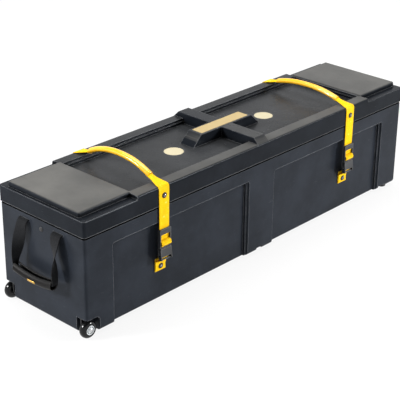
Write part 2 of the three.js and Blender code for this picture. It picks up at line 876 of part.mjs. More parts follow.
function anchorTabSolid() {
  const wrap = bodyBarRadius + touchGap + webbingThickness / 2;
  const bend = bodyThickness;
  const upper = arcPoints([tongueMiddle, bodyBarLevel], wrap, 0, Math.PI / 2, roundSteps);
  const back = [
    [tabFloor, tabEndLevel],
    [tabFloor, tabRivetLevel + 2 * webbingThickness],
    [tabFloor, bodyEndLevel - bend],
    [tabFloor - webbingThickness, bodyEndLevel - bend * tabBendShare],
    [tongueMiddle + wrap, bodyEndLevel - webbingThickness],
    ...upper,
  ];
  const layer = tabFloor - webbingThickness + touchGap / 2;
  const front = [
    [layer, tabEndLevel],
    [layer, tabRivetLevel + 2 * webbingThickness],
    [layer, bodyEndLevel - bend - webbingThickness],
    [layer - webbingThickness, bodyEndLevel - bend],
    [tongueMiddle - wrap, bodyEndLevel - 2 * webbingThickness],
    ...arcPoints([tongueMiddle, bodyBarLevel], wrap, Math.PI, Math.PI / 2, roundSteps),
  ];
  const halves = [buckleWebbingWidth / 2, webbingThickness / 2];
  const strips = [back, front].map((path) => crossStrip(path, flatPoints, () => halves, () => 0));
  return cut(join(...strips), holeAlongY(
    rivetShankRadius + touchGap,
    [tabFloor - overrun, tabFloor + overrun],
    0,
    tabRivetLevel,
  ));
}

// Wheels, drawn for the front corner with the axle at the origin
const wheelFace = -(halfWidth - wheelFaceInset);
const wheelBack = wheelFace + wheelWidth;
const cheekFront = wheelBack + bracketGap;
const cheekBack = cheekFront + bracketThickness;
const axleLevel = wheelRadius;
const axleX = -halfLength + wheelFromEnd;

function tyreSolid() {
  const bore = hubRadius + touchGap;
  const shoulder = (from, to) => Array.from({ length: roundSteps + 1 }, (_, i) => {
    const angle = (i / roundSteps) * Math.PI / 2;
    return [
      wheelRadius - tyreShoulder + tyreShoulder * Math.sin(angle),
      from + (to - from) * (1 - Math.cos(angle)),
    ];
  });
  const front = shoulder(wheelFace, wheelFace + tyreShoulder);
  const back = shoulder(wheelBack, wheelBack - tyreShoulder).reverse();
  return turnedAboutY([
    [bore, wheelFace],
    ...front,
    ...back,
    [bore, wheelBack],
    [bore, wheelFace],
  ], wheelSteps);
}

function hubSolid() {
  const bore = axleRadius + axleClearance;
  const boss = axleHeadRadius + hubLip;
  const rim = hubRadius - hubLip;
  return turnedAboutY([
    [bore, wheelFace],
    [boss, wheelFace],
    [boss, wheelFace + hubDish],
    [rim, wheelFace + hubDish],
    [rim, wheelFace],
    [hubRadius, wheelFace],
    [hubRadius, wheelBack],
    [bore, wheelBack],
    [bore, wheelFace],
  ], wheelSteps);
}

function axleSolid() {
  const head = wheelFace - touchGap;
  const collarFront = wheelBack + touchGap;
  const collarBack = cheekFront - touchGap;
  const nut = cheekBack + touchGap;
  return turnedAboutY([
    [0, head - axleHeadHeight],
    [axleHeadRadius * domeEdgeShares[0], head - axleHeadHeight * domeEdgeShares[1]],
    [axleHeadRadius, head],
    [axleRadius, head],
    [axleRadius, collarFront],
    [axleHeadRadius, collarFront],
    [axleHeadRadius, collarBack],
    [axleRadius, collarBack],
    [axleRadius, nut],
    [axleNutRadius, nut],
    [axleNutRadius, nut + axleNutHeight],
    [0, nut + axleNutHeight],
  ]);
}

function bracketSolid() {
  const ceiling = floorGap + wellHeight - touchGap - axleLevel;
  const half = bracketWidth / 2;
  const low = -axleHeadRadius - bracketThickness;
  const right = [[half / 2, low], [half, 0], [half, ceiling]];
  const left = right.map(([x, z]) => [-x, z]).reverse();
  const outline = [...left, ...right].map(([x, z]) => new THREE.Vector2(x, z));
  const cheek = prismAlongY(outline, [cheekFront, cheekBack]);
  const flange = box(
    [-half, half],
    [cheekFront, cheekBack + bracketFlange],
    [ceiling - bracketThickness, ceiling],
  );
  const through = [cheekFront - overrun, cheekBack + overrun];
  return cut(join(cheek, flange), holeAlongY(axleRadius + touchGap, through, 0, 0));
}

function footSolid() {
  const top = floorGap - touchGap;
  return turnedAboutY([
    [0, 0],
    [footRadius - footTaper, 0],
    [footRadius, footTaper],
    [footRadius, top],
    [0, top],
  ]).rotate([quarterTurn, 0, 0]);
}

// End handle, drawn for the -X end with the pivot at the origin
const pivotX = -(tubHalfLength + handlePivotStandoff);
const gripX = -(gripStandoff - handlePivotStandoff);

// One leg of the handle from the pivot down: shares of the reach out, of the bulge along Y
// and of the drop, then the share of the quarter turn and of the gathering into the core
const legShares = [
  [0, 0, 0, 0, 0],
  [0.05, 0, 0.1, 0, 0],
  [0.3, 0.14, 0.28, 0.05, 0],
  [0.62, 0.36, 0.5, 0.35, 0],
  [0.85, 0.57, 0.72, 0.75, 0],
  [0.95, 1, 0.92, 1, 0.6],
  [0.99, 0.86, 0.99, 1, 1],
];

function handlePath() {
  const legY = handleAnchorSpacing / 2;
  const side = legShares.map(([outShare, bulgeShare, downShare, turn, core]) => ({
    place: new THREE.Vector3(
      gripX * outShare,
      legY + legBulge * bulgeShare,
      -gripDrop * downShare,
    ),
    turn,
    core,
  }));
  const lowShares = [1, 0.75, 0.5, 0.25, 0];
  const low = lowShares.map((share) => ({
    place: new THREE.Vector3(gripX, gripHalfLength * share, -gripDrop - gripSag * (1 - share ** 2)),
    turn: 1,
    core: 1,
  }));
  const half = [...side, ...low];
  const other = half.slice(0, -1).reverse().map(({ place, turn, core }) => ({
    place: new THREE.Vector3(place.x, -place.y, place.z),
    turn,
    core,
  }));
  return [...half, ...other];
}

function handleWebbingSolid() {
  const frames = handlePath();
  const outline = sectionOutline(strapPoints);
  const rings = frames.map(({ place, turn, core }, i) => {
    const before = frames[Math.max(i - 1, 0)].place;
    const after = frames[Math.min(i + 1, frames.length - 1)].place;
    const along = after.clone().sub(before).normalize();
    const angle = turn * Math.PI / 2;
    const mirror = i < frames.length / 2 ? 1 : -1;
    const wish = new THREE.Vector3(Math.sin(angle), mirror * Math.cos(angle), 0);
    const through = along.clone().cross(wish).normalize();
    const across = through.clone().cross(along).normalize();
    const halves = [
      THREE.MathUtils.lerp(handleWebbingWidth, gripCoreWidth, core) / 2,
      THREE.MathUtils.lerp(webbingThickness, gripCoreThickness, core) / 2,
    ];
    return sectionRing(outline, place, across, through, halves, 0);
  });
  return loft(rings, outline);
}

function gripSolid() {
  const inner = gripRadius - gripWall;
  const open = Math.asin(gripSlit / 2 / gripRadius);
  const from = Math.PI / 2 + open;
  const to = 2.5 * Math.PI - open;
  const outline = [
    ...arcPoints([0, 0], gripRadius, from, to, gripSteps),
    ...arcPoints([0, 0], inner, to, from, gripSteps),
  ].map(([x, z]) => new THREE.Vector2(x, z));
  const reach = gripHalfLength + gripOverhang;
  const rings = Array.from({ length: gripSteps + 1 }, (_, i) => {
    const share = THREE.MathUtils.lerp(-1, 1, i / gripSteps);
    const y = share * reach;
    const z = -gripDrop - gripSag * (1 - (y / gripHalfLength) ** 2);
    return outline.map((point) => new THREE.Vector3(gripX + point.x, y, z + point.y));
  });
  return loft(rings, outline);
}

function handleAnchorSolid() {
  const outer = -webbingThickness / 2 - 2 * touchGap;
  const plateIn = handlePivotStandoff + tubWall + 2 * touchGap + backPlateThickness;
  const half = handleWebbingWidth / 2;
  const thin = webbingThickness / 2;
  return join(
    box([-outer, plateIn + touchGap + knotLength / 2], [-half, half], [-thin, thin]),
    box(
      [plateIn + touchGap, plateIn + touchGap + knotLength],
      [-half, half],
      [-knotThickness / 2, knotThickness / 2],
    ),
  );
}

function backPlateSolid() {
  const front = tubHalfLength - tubWall - touchGap;
  const half = backPlateLength / 2;
  const slotHalf = handleWebbingWidth / 2 + handleSlotGap;
  const studTop = tubHalfLength + touchGap;
  const plate = box(
    [front - backPlateThickness, front],
    [-half, half],
    [-plateStudDrop - backPlateHeight / 2, -plateStudDrop + backPlateHeight / 2],
  );
  const slots = [-1, 1].map((side) => box(
    [front - overrun, front + overrun],
    [side * handleAnchorSpacing / 2 - slotHalf, side * handleAnchorSpacing / 2 + slotHalf],
    [-webbingThickness, webbingThickness],
  ));
  const stud = turnedAboutY([
    [0, front - backPlateThickness],
    [rivetShankRadius, front - backPlateThickness],
    [rivetShankRadius, studTop],
    [rivetTailRadius, studTop],
    [rivetTailRadius * domeEdgeShares[0], studTop + rivetHeadHeight * domeEdgeShares[1]],
    [0, studTop + rivetHeadHeight],
  ]).rotate([0, 0, -quarterTurn]);
  return join(cut(plate, ...slots), moved(stud, 0, 0, -plateStudDrop));
}

// Assembly
const drumHardwareCase = new THREE.Group();

function place(name, solid, look, parent = drumHardwareCase) {
  const mesh = new THREE.Mesh(geometryOf(solid), look);
  mesh.name = name;
  parent.add(mesh);
  return mesh;
}

function frameAt(x, y, z, turn = 0) {
  const group = new THREE.Group();
  group.position.set(x, y, z);
  group.rotation.z = turn;
  drumHardwareCase.add(group);
  return group;
}

place('tub', tubSolid(), blackShell);
place('lid', lidSolid(), blackShell);
place('nameplate', nameplateSolid(), goldPlate);

const ends = [
  { end: 'left', sign: -1, rise: leftLoopRise, crown: leftLoopCrown },
  { end: 'right', sign: 1, rise: rightLoopRise, crown: rightLoopCrown },
];
const sides = [{ side: 'front', turn: 0 }, { side: 'rear', turn: Math.PI }];

const plug = plugSolid();
const prong = prongSolid();
const buckleBody = buckleBodySolid();
const anchorTab = anchorTabSolid();
const strapRivet = rivetSolid(strapFace - webbingThickness / 2, -(halfWidth - skirtThickness));
const tabRivet = rivetSolid(
  tabFloor - 1.5 * webbingThickness,
  -(panelFloor - tubWall),
);

for (const { end, sign, rise, crown } of ends) {
  const disc = frameAt(sign * discOffset, 0, trayLevel - discRecess + touchGap);
  place(`badge_disc_${end}`, badgeDiscSolid(), goldPlate, disc);
  const station = frameAt(sign * strapOffset, 0, 0);
  place(`carry_loop_${end}`, loopSolid(rise, crown), yellowWebbing, station);
  for (const { side, turn } of sides) {
    const name = (piece) => `${piece}_${side}_${end}`;
    const strapFrame = frameAt(sign * strapOffset, 0, 0, turn);
    const rivetFrame = frameAt(sign * strapOffset, 0, lidLevel + strapRivetHeight, turn);
    const tabRivetFrame = frameAt(sign * strapOffset, 0, tabRivetLevel, turn);
    place(name('lid_strap'), strapSolid(rise), yellowWebbing, strapFrame);
    place(name('strap_rivet'), strapRivet, blackRivet, rivetFrame);
    place(name('buckle_plug'), plug, blackPlastic, strapFrame);
    place(name('buckle_prong_a'), prong, blackPlastic, strapFrame);
    place(name('buckle_prong_b'), prong.mirror([1, 0, 0]), blackPlastic, strapFrame);
    place(name('buckle_body'), buckleBody, blackPlastic, strapFrame);
    place(name('anchor_tab'), anchorTab, yellowWebbing, strapFrame);
    place(name('tab_rivet'), tabRivet, blackRivet, tabRivetFrame);
  }
}

for (const { side, turn } of sides) {
  const mirror = turn === 0 ? 1 : -1;
  const look = (solid) => (mirror === 1 ? solid : solid.mirror([0, 1, 0]));
  const axle = frameAt(axleX, 0, axleLevel);
  place(`wheel_tyre_${side}`, look(tyreSolid()), blackRubber, axle);
  place(`wheel_hub_${side}`, look(hubSolid()), whiteNylon, axle);
  place(`wheel_axle_${side}`, look(axleSolid()), steel, axle);
  place(`wheel_bracket_${side}`, look(bracketSolid()), blackRivet, axle);
  const foot = frameAt(halfLength - footFromEnd, -mirror * (halfWidth - footFromSide), 0);
  place(`foot_${side}`, footSolid(), blackRubber, foot);
}

for (const { end, sign } of ends) {
  const turn = sign < 0 ? 0 : Math.PI;
  const pivot = frameAt(sign < 0 ? pivotX : -pivotX, 0, handleSlotLevel, turn);
  place(`handle_webbing_${end}`, handleWebbingSolid(), blackWebbing, pivot);
  place(`handle_grip_${end}`, gripSolid(), blackRubber, pivot);
  for (const { side, turn: sideTurn } of sides) {
    const y = (sideTurn === 0 ? -1 : 1) * handleAnchorSpacing / 2;
    const anchor = frameAt(sign < 0 ? pivotX : -pivotX, y, handleSlotLevel, turn);
    place(`handle_anchor_${side}_${end}`, handleAnchorSolid(), blackWebbing, anchor);
  }
  const plate = frameAt(0, 0, handleSlotLevel, sign < 0 ? Math.PI : 0);
  place(`handle_plate_${end}`, backPlateSolid(), steel, plate);
}

export default drumHardwareCase;
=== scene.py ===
import math

import bpy
from mathutils import Matrix, Vector


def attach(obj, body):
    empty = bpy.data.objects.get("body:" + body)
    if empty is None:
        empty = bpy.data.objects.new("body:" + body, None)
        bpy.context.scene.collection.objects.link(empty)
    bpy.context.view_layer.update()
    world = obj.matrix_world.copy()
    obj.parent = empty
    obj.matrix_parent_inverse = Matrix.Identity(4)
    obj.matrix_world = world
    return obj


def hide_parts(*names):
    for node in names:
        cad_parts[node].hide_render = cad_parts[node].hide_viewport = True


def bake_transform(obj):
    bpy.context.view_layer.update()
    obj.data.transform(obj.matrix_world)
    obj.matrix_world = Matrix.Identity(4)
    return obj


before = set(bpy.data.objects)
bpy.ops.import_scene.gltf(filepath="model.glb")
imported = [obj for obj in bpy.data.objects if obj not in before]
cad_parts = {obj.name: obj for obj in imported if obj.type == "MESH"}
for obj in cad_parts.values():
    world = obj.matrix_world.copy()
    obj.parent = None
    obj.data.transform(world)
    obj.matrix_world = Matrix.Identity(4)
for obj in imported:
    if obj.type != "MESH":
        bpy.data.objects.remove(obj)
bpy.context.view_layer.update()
bpy.ops.object.select_all(action="DESELECT")

# Studio: the case stands on a wide white floor in a pale room, under one large soft lamp and
# between two smaller ones. The eye sees the room as plain white, shiny surfaces see a white
# sweep low down and a dark ceiling, and the floor keeps a soft shadow.
room_strength = 0.32
ceiling_strength = 0.1
shadow_depth = 0.14
floor_side = 16
lamp_aim = Vector((0, 0, 0.2))
camera_place = (-2.3648, -2.1177, 1.6045)
camera_turn = (64.7994, -0.5667, -46.9195)
camera_lens = 111.312

bpy.ops.mesh.primitive_plane_add(size=floor_side, location=(0, 0, 0))
floor = bpy.context.object
floor.name = "floor"
bpy.ops.object.transform_apply(location=True, rotation=True, scale=True)

lamps = (
    # name, place, size in X and Y, power in watts
    ("lamp_over", (0.4, 0.6, 3.4), (3.0, 2.4), 120),
    ("lamp_left", (-3.0, 1.6, 1.9), (0.8, 0.8), 150),
    ("lamp_right", (2.4, -3.2, 1.7), (0.6, 0.6), 170),
)
for lamp_name, place, (wide, deep), watts in lamps:
    bpy.ops.object.light_add(type="AREA", location=place)
    lamp = bpy.context.object
    lamp.name = lamp_name
    lamp.data.shape = "RECTANGLE"
    lamp.data.size = wide
    lamp.data.size_y = deep
    lamp.data.energy = watts
    lamp.rotation_euler = (lamp_aim - Vector(place)).to_track_quat("-Z", "Y").to_euler()

bpy.ops.object.camera_add(
    location=camera_place, rotation=[math.radians(angle) for angle in camera_turn],
)
camera = bpy.context.object
camera.name = "camera"
camera.data.sensor_width = 36
camera.data.lens = camera_lens
camera.data.clip_start = 0.05
camera.data.clip_end = 60
bpy.context.scene.camera = camera
bpy.context.scene.view_settings.view_transform = "Standard"


class Flow:
    """A socket in a finish. Sums written on it add the nodes that work them out."""

    def __init__(self, tree, socket=None):
        self.tree = tree
        self.socket = socket

    def node(self, kind, settings=None, sockets=None, output=None):
        made = self.tree.nodes.new(kind)
        for name, value in (settings or {}).items():
            setattr(made, name, value)
        for name, value in (sockets or {}).items():
            if isinstance(name, int):
                entry = made.inputs[name]
            else:
                entry = next(s for s in made.inputs if s.enabled and s.name == name)
            if isinstance(value, Flow):
                self.tree.links.new(value.socket, entry)
            else:
                entry.default_value = value
        outputs = [s for s in made.outputs if s.enabled and output in (None, s.name)]
        return Flow(self.tree, outputs[0] if outputs else None)

    def math(self, operation, *others):
        terms = dict(enumerate((self, *others)))
        return self.node("ShaderNodeMath", {"operation": operation}, terms)

    def reflected(self, operation, first):
        return self.node("ShaderNodeMath", {"operation": operation}, {0: first, 1: self})

    def __add__(self, other):
        return self.math("ADD", other)

    def __sub__(self, other):
        return self.math("SUBTRACT", other)

    def __mul__(self, other):
        return self.math("MULTIPLY", other)

    def __truediv__(self, other):
        return self.math("DIVIDE", other)

    def __pow__(self, other):
        return self.math("POWER", other)

    def __radd__(self, other):
        return self.reflected("ADD", other)

    def __rsub__(self, other):
        return self.reflected("SUBTRACT", other)

    def __rmul__(self, other):
        return self.reflected("MULTIPLY", other)

    def __abs__(self):
        return self.math("ABSOLUTE")

    def between(self, low, high):
        """0 below low, 1 above high, and a smooth step from one to the other."""
        return self.node(
            "ShaderNodeMapRange",
            {"interpolation_type": "SMOOTHSTEP", "clamp": True},
            {"Value": self, "From Min": low, "From Max": high},
        )

    def tint(self, first, second):
        """The first colour where this is 0 and the second where it is 1."""
        settings = {"data_type": "RGBA", "clamp_factor": True}
        return self.node("ShaderNodeMix", settings, {"Factor": self, "A": first, "B": second})


def new_finish(name):
    material = bpy.data.materials.new(name)
    material.use_nodes = True
    material.node_tree.nodes.clear()
    return material, Flow(material.node_tree)


floor_finish, paint = new_finish("floor_finish")
path = {name: paint.node("ShaderNodeLightPath", output=name) for name in (
    "Is Camera Ray", "Is Glossy Ray", "Is Transmission Ray",
)}
watched = path["Is Camera Ray"] + path["Is Glossy Ray"] + path["Is Transmission Ray"]
paper = paint.node("ShaderNodeBsdfDiffuse", sockets={"Color": (0.86, 0.86, 0.86, 1)})
glow = paint.node("ShaderNodeEmission", sockets={"Color": (1, 1, 1, 1), "Strength": 1.0})
share = watched.math("MINIMUM", 1) * (1 - shadow_depth)
laid = paint.node("ShaderNodeMixShader", sockets={0: share, 1: paper, 2: glow})
paint.node("ShaderNodeOutputMaterial", sockets={"Surface": laid})
floor.data.materials.append(floor_finish)

world = bpy.data.worlds.new("room")
bpy.context.scene.world = world
world.use_nodes = True
world.node_tree.nodes.clear()
paint = Flow(world.node_tree)
mirrored = paint.node("ShaderNodeLightPath", output="Is Glossy Ray")
watched = paint.node("ShaderNodeLightPath", output="Is Camera Ray")
watched = (watched + paint.node("ShaderNodeLightPath", output="Is Transmission Ray")).math("MINIMUM", 1)
height = paint.node("ShaderNodeTexCoord", output="Generated")
height = paint.node("ShaderNodeSeparateXYZ", sockets={"Vector": height}, output="Z")
sweep = ceiling_strength + (1 - ceiling_strength) * (1 - height.between(0.46, 0.62))
strength = room_strength + watched * (1 - room_strength) + mirrored * (sweep - room_strength)
room = paint.node("ShaderNodeBackground", sockets={"Color": (1, 1, 1, 1), "Strength": strength})
paint.node("ShaderNodeOutputWorld", sockets={"Surface": room})


# Tub: one black moulded shell with sunk side panels, wheel wells and a lip that the lid sits
# over. Its skin is a fine leather grain, satin, with a little dusting where it faces up, and
# paler along its edges, partly rubbed and partly as a painted highlight. Its hollows and the
# groove under the lid's edge are painted dark as shade.
def only(piece):
    """Makes this the one piece that the next steps act on."""
    bpy.ops.object.select_all(action="DESELECT")
    piece.select_set(True)
    bpy.context.view_layer.objects.active = piece


def pick(piece, chosen):
    """Selects the points that pass the test, with the edges and faces between them."""
    points = piece.data.vertices
    for point in points:
        point.select = bool(chosen(point.co))
    for part in (*piece.data.edges, *piece.data.polygons):
        part.select = all(points[index].select for index in part.vertices)


def cut_away(piece, chosen):
    """Deletes the points that pass the test, and stays in edit mode."""
    only(piece)
    pick(piece, chosen)
    bpy.ops.object.mode_set(mode="EDIT")
    bpy.ops.mesh.select_mode(type="VERT")
    bpy.ops.mesh.delete(type="VERT")


def round_edges(piece, width, segments, angle, clamp=False):
    """Rounds the edges where faces meet more sharply than the angle."""
    only(piece)
    rounding = piece.modifiers.new("rounding", "BEVEL")
    rounding.width = width
    rounding.segments = segments
    rounding.limit_method = "ANGLE"
    rounding.angle_limit = math.radians(angle)
    rounding.use_clamp_overlap = clamp
    bpy.ops.object.modifier_apply(modifier="rounding")


def moulding(name, node, edge, weld=1e-6):
    """A welded copy of a CAD piece, with its edges rounded as they leave the mould.

    Faces with a concave outline are split first, so that none closes over an opening.
    """
    piece = bpy.data.objects.new(name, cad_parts[node].data.copy())
    bpy.context.scene.collection.objects.link(piece)
    piece.data.materials.clear()
    only(piece)
    bpy.ops.mesh.customdata_custom_splitnormals_clear()
    bpy.ops.object.mode_set(mode="EDIT")
    bpy.ops.mesh.select_all(action="SELECT")
    bpy.ops.mesh.remove_doubles(threshold=weld)
    bpy.ops.mesh.dissolve_limited(angle_limit=math.radians(0.5))
    bpy.ops.mesh.vert_connect_concave()
    bpy.ops.object.mode_set(mode="OBJECT")
    round_edges(piece, edge, 2, 28)
    soften(piece, 50)
    return piece


def soften(piece, angle):
    """Smooth shading, with creases only where faces meet more sharply than the angle."""
    only(piece)
    bpy.ops.object.shade_smooth_by_angle(angle=math.radians(angle))
    evening = piece.modifiers.new("evening", "WEIGHTED_NORMAL")
    evening.keep_sharp = True
    bpy.ops.object.modifier_apply(modifier="evening")


def fit(piece, body, finish, slot, *nodes):
    """Gives a finished piece its skin, the body that it moves with and the nodes it stands for."""
    piece.data.materials.clear()
    piece.data.materials.append(finish)
    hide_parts(*nodes)
    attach(piece, body)


def satin_plastic(
    name, colour, dust_and_sheen_colour, rough=0.24, grain=0.0001, worn=0.35, sheen=0.5, dust_and_sheen_spread=None,
    gloss=(1, 1, 1), gap_shade=None,
):
    """Moulded plastic: grain, slow patches, fine scuffs, dusting on top and paler edges.

    The edges are paler partly from wear and partly as a painted highlight, by the worn share.
    The settled argument works out from X, Y and Z how much dusting and painted sheen lies at a
    place, and the gap argument where a narrow groove is painted dark as shade. Where faces meet
    in an inner corner the plastic is painted matt and dark as shade.
    """
    material, paint = new_finish(name)
    place = paint.node("ShaderNodeTexCoord", output="Object")

    def noise(scale, detail, stretch=(1, 1, 1)):
        stretched = paint.node("ShaderNodeMapping", sockets={"Vector": place, "Scale": stretch})
        sockets = {"Vector": stretched, "Scale": scale, "Detail": detail, "Roughness": 0.6}
        return paint.node("ShaderNodeTexNoise", sockets=sockets, output="Fac")

    patches = noise(9, 4)
    cloud = noise(46, 5)
    fine = noise(900, 2)
    pores = paint.node(
        "ShaderNodeTexVoronoi",
        {"feature": "F1"},
        {"Vector": place, "Scale": 620},
        output="Distance",
    )
    scuffs = noise(36, 3, (1, 1, 26)).between(0.6, 0.74) * cloud.between(0.45, 0.7)
    normal = paint.node("ShaderNodeNewGeometry", output="Normal")
    up = paint.node("ShaderNodeSeparateXYZ", sockets={"Vector": normal}, output="Z")
    rounded = paint.node("ShaderNodeBevel", {"samples": 4}, {"Radius": 0.003})
    along = paint.node(
        "ShaderNodeVectorMath",
        {"operation": "DOT_PRODUCT"},
        {0: rounded, 1: normal},
        output="Value",
    )
    # Paler edges: partly wear, partly a painted highlight.
    edges = (1 - along).between(0.012, 0.09) * (0.7 + 0.3 * cloud.between(0.3, 0.62))
    # Dusting on faces that look up, and on the lid also a painted sheen.
    dust_and_sheen = up.between(0.35, 0.95) * (0.45 + 0.9 * patches)
    apart = [
        paint.node("ShaderNodeSeparateXYZ", sockets={"Vector": place}, output=axis)
        for axis in "XYZ"
    ]
    if dust_and_sheen_spread:
        dust_and_sheen = dust_and_sheen * dust_and_sheen_spread(*apart)
    open_sky = paint.node(
        "ShaderNodeAmbientOcclusion",
        {"samples": 6, "only_local": True},
        {"Distance": 0.022},
        output="AO",
    )
    # Inner hollows go matt and dark: painted shade.
    shaded_corners = (1 - open_sky.between(0.4, 0.92)) * 0.8
    if gap_shade:
        shaded_corners = shaded_corners.math("MAXIMUM", gap_shade(*apart))
    shade = patches.between(0.3, 0.7).tint(
        [0.8 * part for part in colour] + [1],
        [1.25 * part for part in colour] + [1],
    )
    dusted_and_sheened = (dust_and_sheen * 0.85).tint(shade, (*dust_and_sheen_colour, 1))
    scuffed = (scuffs * 0.3).tint(dusted_and_sheened, [2.2 * part + 0.012 for part in colour] + [1])
    skin = (edges * worn).tint(scuffed, [2.5 * part + 0.15 for part in colour] + [1])
    roughness = rough + 0.12 * (cloud - 0.5) + 0.14 * dust_and_sheen - 0.08 * edges + 0.1 * scuffs
    relief = paint.node(
        "ShaderNodeBump",
        sockets={
            "Strength": 0.55,
            "Distance": grain,
            "Height": pores * 0.7 + fine * 0.6,
        },
    )
    body = paint.node(
        "ShaderNodeBsdfPrincipled",
        sockets={
            "Base Color": skin,
            "Roughness": roughness,
            "Specular IOR Level": sheen,
            "Specular Tint": (*gloss, 1),
            "Normal": relief,
        },
    )
    # A matt near-black that stands in for shade: painted shade.
    painted_shade = paint.node("ShaderNodeBsdfDiffuse", sockets={"Color": (0.002, 0.002, 0.002, 1)})
    body = paint.node("ShaderNodeMixShader", sockets={0: shaded_corners, 1: body, 2: painted_shade})
    paint.node("ShaderNodeOutputMaterial", sockets={"Surface": body})
    return material


def lid_groove_shade(x, y, z):
    """Where the groove between the tub's shoulder and the lid's lower edge is painted dark
    as shade.
    """
    return z.between(0.2732, 0.2742) * (1 - z.between(0.28, 0.281))


cool = (0.82, 0.9, 1.0)
# Its edges are paler partly as a painted highlight, and the lid groove is painted dark as shade.
shell_black = satin_plastic(
    "shell_black", (0.0165, 0.0195, 0.0255), (0.05, 0.049, 0.046), sheen=0.09, worn=0.8,
    gloss=cool, gap_shade=lid_groove_shade,
)
tub = moulding("tub_shell", "tub", 0.001)
fit(tub, "tub", shell_black, "shell", "tub")

# Wheels: a steel bracket in each well holds an axle with a domed head. A pale plastic hub turns
# on it, inside a hard black tyre, and its inner side is painted black as shade for the dark
# well. The rear wheel is the front one turned round.
def turned(name, profile, steps, closed=False):
    """A piece turned about the Y axis, ring by ring, through radii and reaches along Y."""
    radius, reach = profile[0]
    bpy.ops.mesh.primitive_circle_add(
        vertices=steps, radius=radius, location=(0, reach, 0), rotation=(math.pi / 2, 0, 0),
    )
    piece = bpy.context.object
    piece.name = name
    bpy.ops.object.transform_apply(location=True, rotation=True, scale=True)
    bpy.ops.object.mode_set(mode="EDIT")
    bpy.ops.mesh.select_all(action="SELECT")
    for (radius, reach), (next_radius, next_reach) in zip(profile, profile[1:]):
        step = (0, next_reach - reach, 0)
        bpy.ops.mesh.extrude_region_move(TRANSFORM_OT_translate={"value": step})
        grow = next_radius / radius
        bpy.ops.transform.resize(value=(grow, 1, grow), center_override=(0, next_reach, 0))
    bpy.ops.mesh.select_all(action="DESELECT")
    bpy.ops.mesh.select_non_manifold()
    if closed:
        bpy.ops.mesh.bridge_edge_loops()
    else:
        bpy.ops.mesh.edge_face_add()
    bpy.ops.mesh.select_all(action="SELECT")
    bpy.ops.mesh.normals_make_consistent(inside=False)
    bpy.ops.object.mode_set(mode="OBJECT")
    return piece


def set_at(piece, name, place, turn=0, axis="Z"):
    """A copy of a piece with its own mesh, turned about an axis and set at its place."""
    made = bpy.data.objects.new(name, piece.data.copy())
    bpy.context.scene.collection.objects.link(made)
    made.data.transform(Matrix.Translation(place) @ Matrix.Rotation(turn, 4, axis))
    return made


def put_away(piece):
    """Clears a pattern piece once its copies are made."""
    bpy.data.objects.remove(piece)


def plated_steel(name, colour, rough=0.3):
    """Zinc plate: a faint cloudy spangle in the sheen, with dull spots."""
    material, paint = new_finish(name)
    place = paint.node("ShaderNodeTexCoord", output="Object")
    spangle = paint.node(
        "ShaderNodeTexVoronoi", {"feature": "F1"}, {"Vector": place, "Scale": 420}, output="Color",
    )
    spangle = paint.node("ShaderNodeSeparateColor", sockets={"Color": spangle}, output="Red")
    cloud = paint.node(
        "ShaderNodeTexNoise", sockets={"Vector": place, "Scale": 130, "Detail": 4}, output="Fac",
    )
    dull = cloud.between(0.52, 0.7)
    skin = (0.35 * spangle + 0.4 * dull).tint((*colour, 1), [0.72 * part for part in colour] + [1])
    relief = paint.node(
        "ShaderNodeBump", sockets={"Strength": 0.2, "Distance": 0.0001, "Height": cloud},
    )
    body = paint.node(
        "ShaderNodeBsdfPrincipled",
        sockets={
            "Base Color": skin,
            "Metallic": 1.0,
            "Roughness": rough + 0.1 * spangle + 0.15 * dull,
            "Normal": relief,
        },
    )
    paint.node("ShaderNodeOutputMaterial", sockets={"Surface": body})
    return material


wheel_x = -0.635
wheel_z = 0.0235
wheel_depth = 0.022
tyre_radius = 0.0235
tyre_round = 0.0095
wheel_face = -0.1555
hub_pale_depth = 0.012
nut_radius = 0.0065
nut_depth = 0.0045
nut_y = 0.02955
zinc = plated_steel("zinc", (0.62, 0.63, 0.64))
bracket_paint = satin_plastic(
    "bracket_paint", (0.011, 0.011, 0.012), (0.03, 0.029, 0.027), rough=0.4,
)
tyre_black = satin_plastic(
    "tyre_black", (0.002, 0.0024, 0.003), (0.004, 0.004, 0.004),
    rough=0.1, grain=0.00002, worn=0.1, sheen=0.3,
)
hub_white = satin_plastic(
    "hub_white", (0.74, 0.78, 0.8), (0.7, 0.71, 0.7), rough=0.28, grain=0.00004, worn=0.1,
)

near_side = []
for count in range(9):
    angle = math.pi / 2 * count / 8
    near_side.append((
        tyre_radius - tyre_round * (1 - math.sin(angle)), tyre_round * (1 - math.cos(angle)),
    ))
seam = [(tyre_radius, 0.0107), (tyre_radius + 0.0002, 0.0109), (tyre_radius + 0.0002, 0.0111)]
far_side = [(radius, wheel_depth - reach) for radius, reach in reversed(near_side)]
tyre = turned("tyre_pattern", [
    (0.0127, 0.0009), (0.013, 0.0003), *near_side, *seam, (tyre_radius, 0.0113), *far_side,
    (0.013, 0.0217), (0.0127, 0.0211),
], 64, closed=True)
hub = turned("hub_pattern", [
    (0.0122, 0.0217), (0.0124, 0.0212), (0.0124, 0.001), (0.0121, 0.0004), (0.0116, 0.0002),
    (0.011, 0.0004), (0.0106, 0.001), (0.0103, 0.0021), (0.0098, 0.0025), (0.0088, 0.0026),
    (0.0083, 0.0023), (0.008, 0.0012), (0.0077, 0.0006), (0.0071, 0.0003), (0.0046, 0.0003),
    (0.0042, 0.0007), (0.0041, 0.0012), (0.0041, 0.0217),
], 48, closed=True)
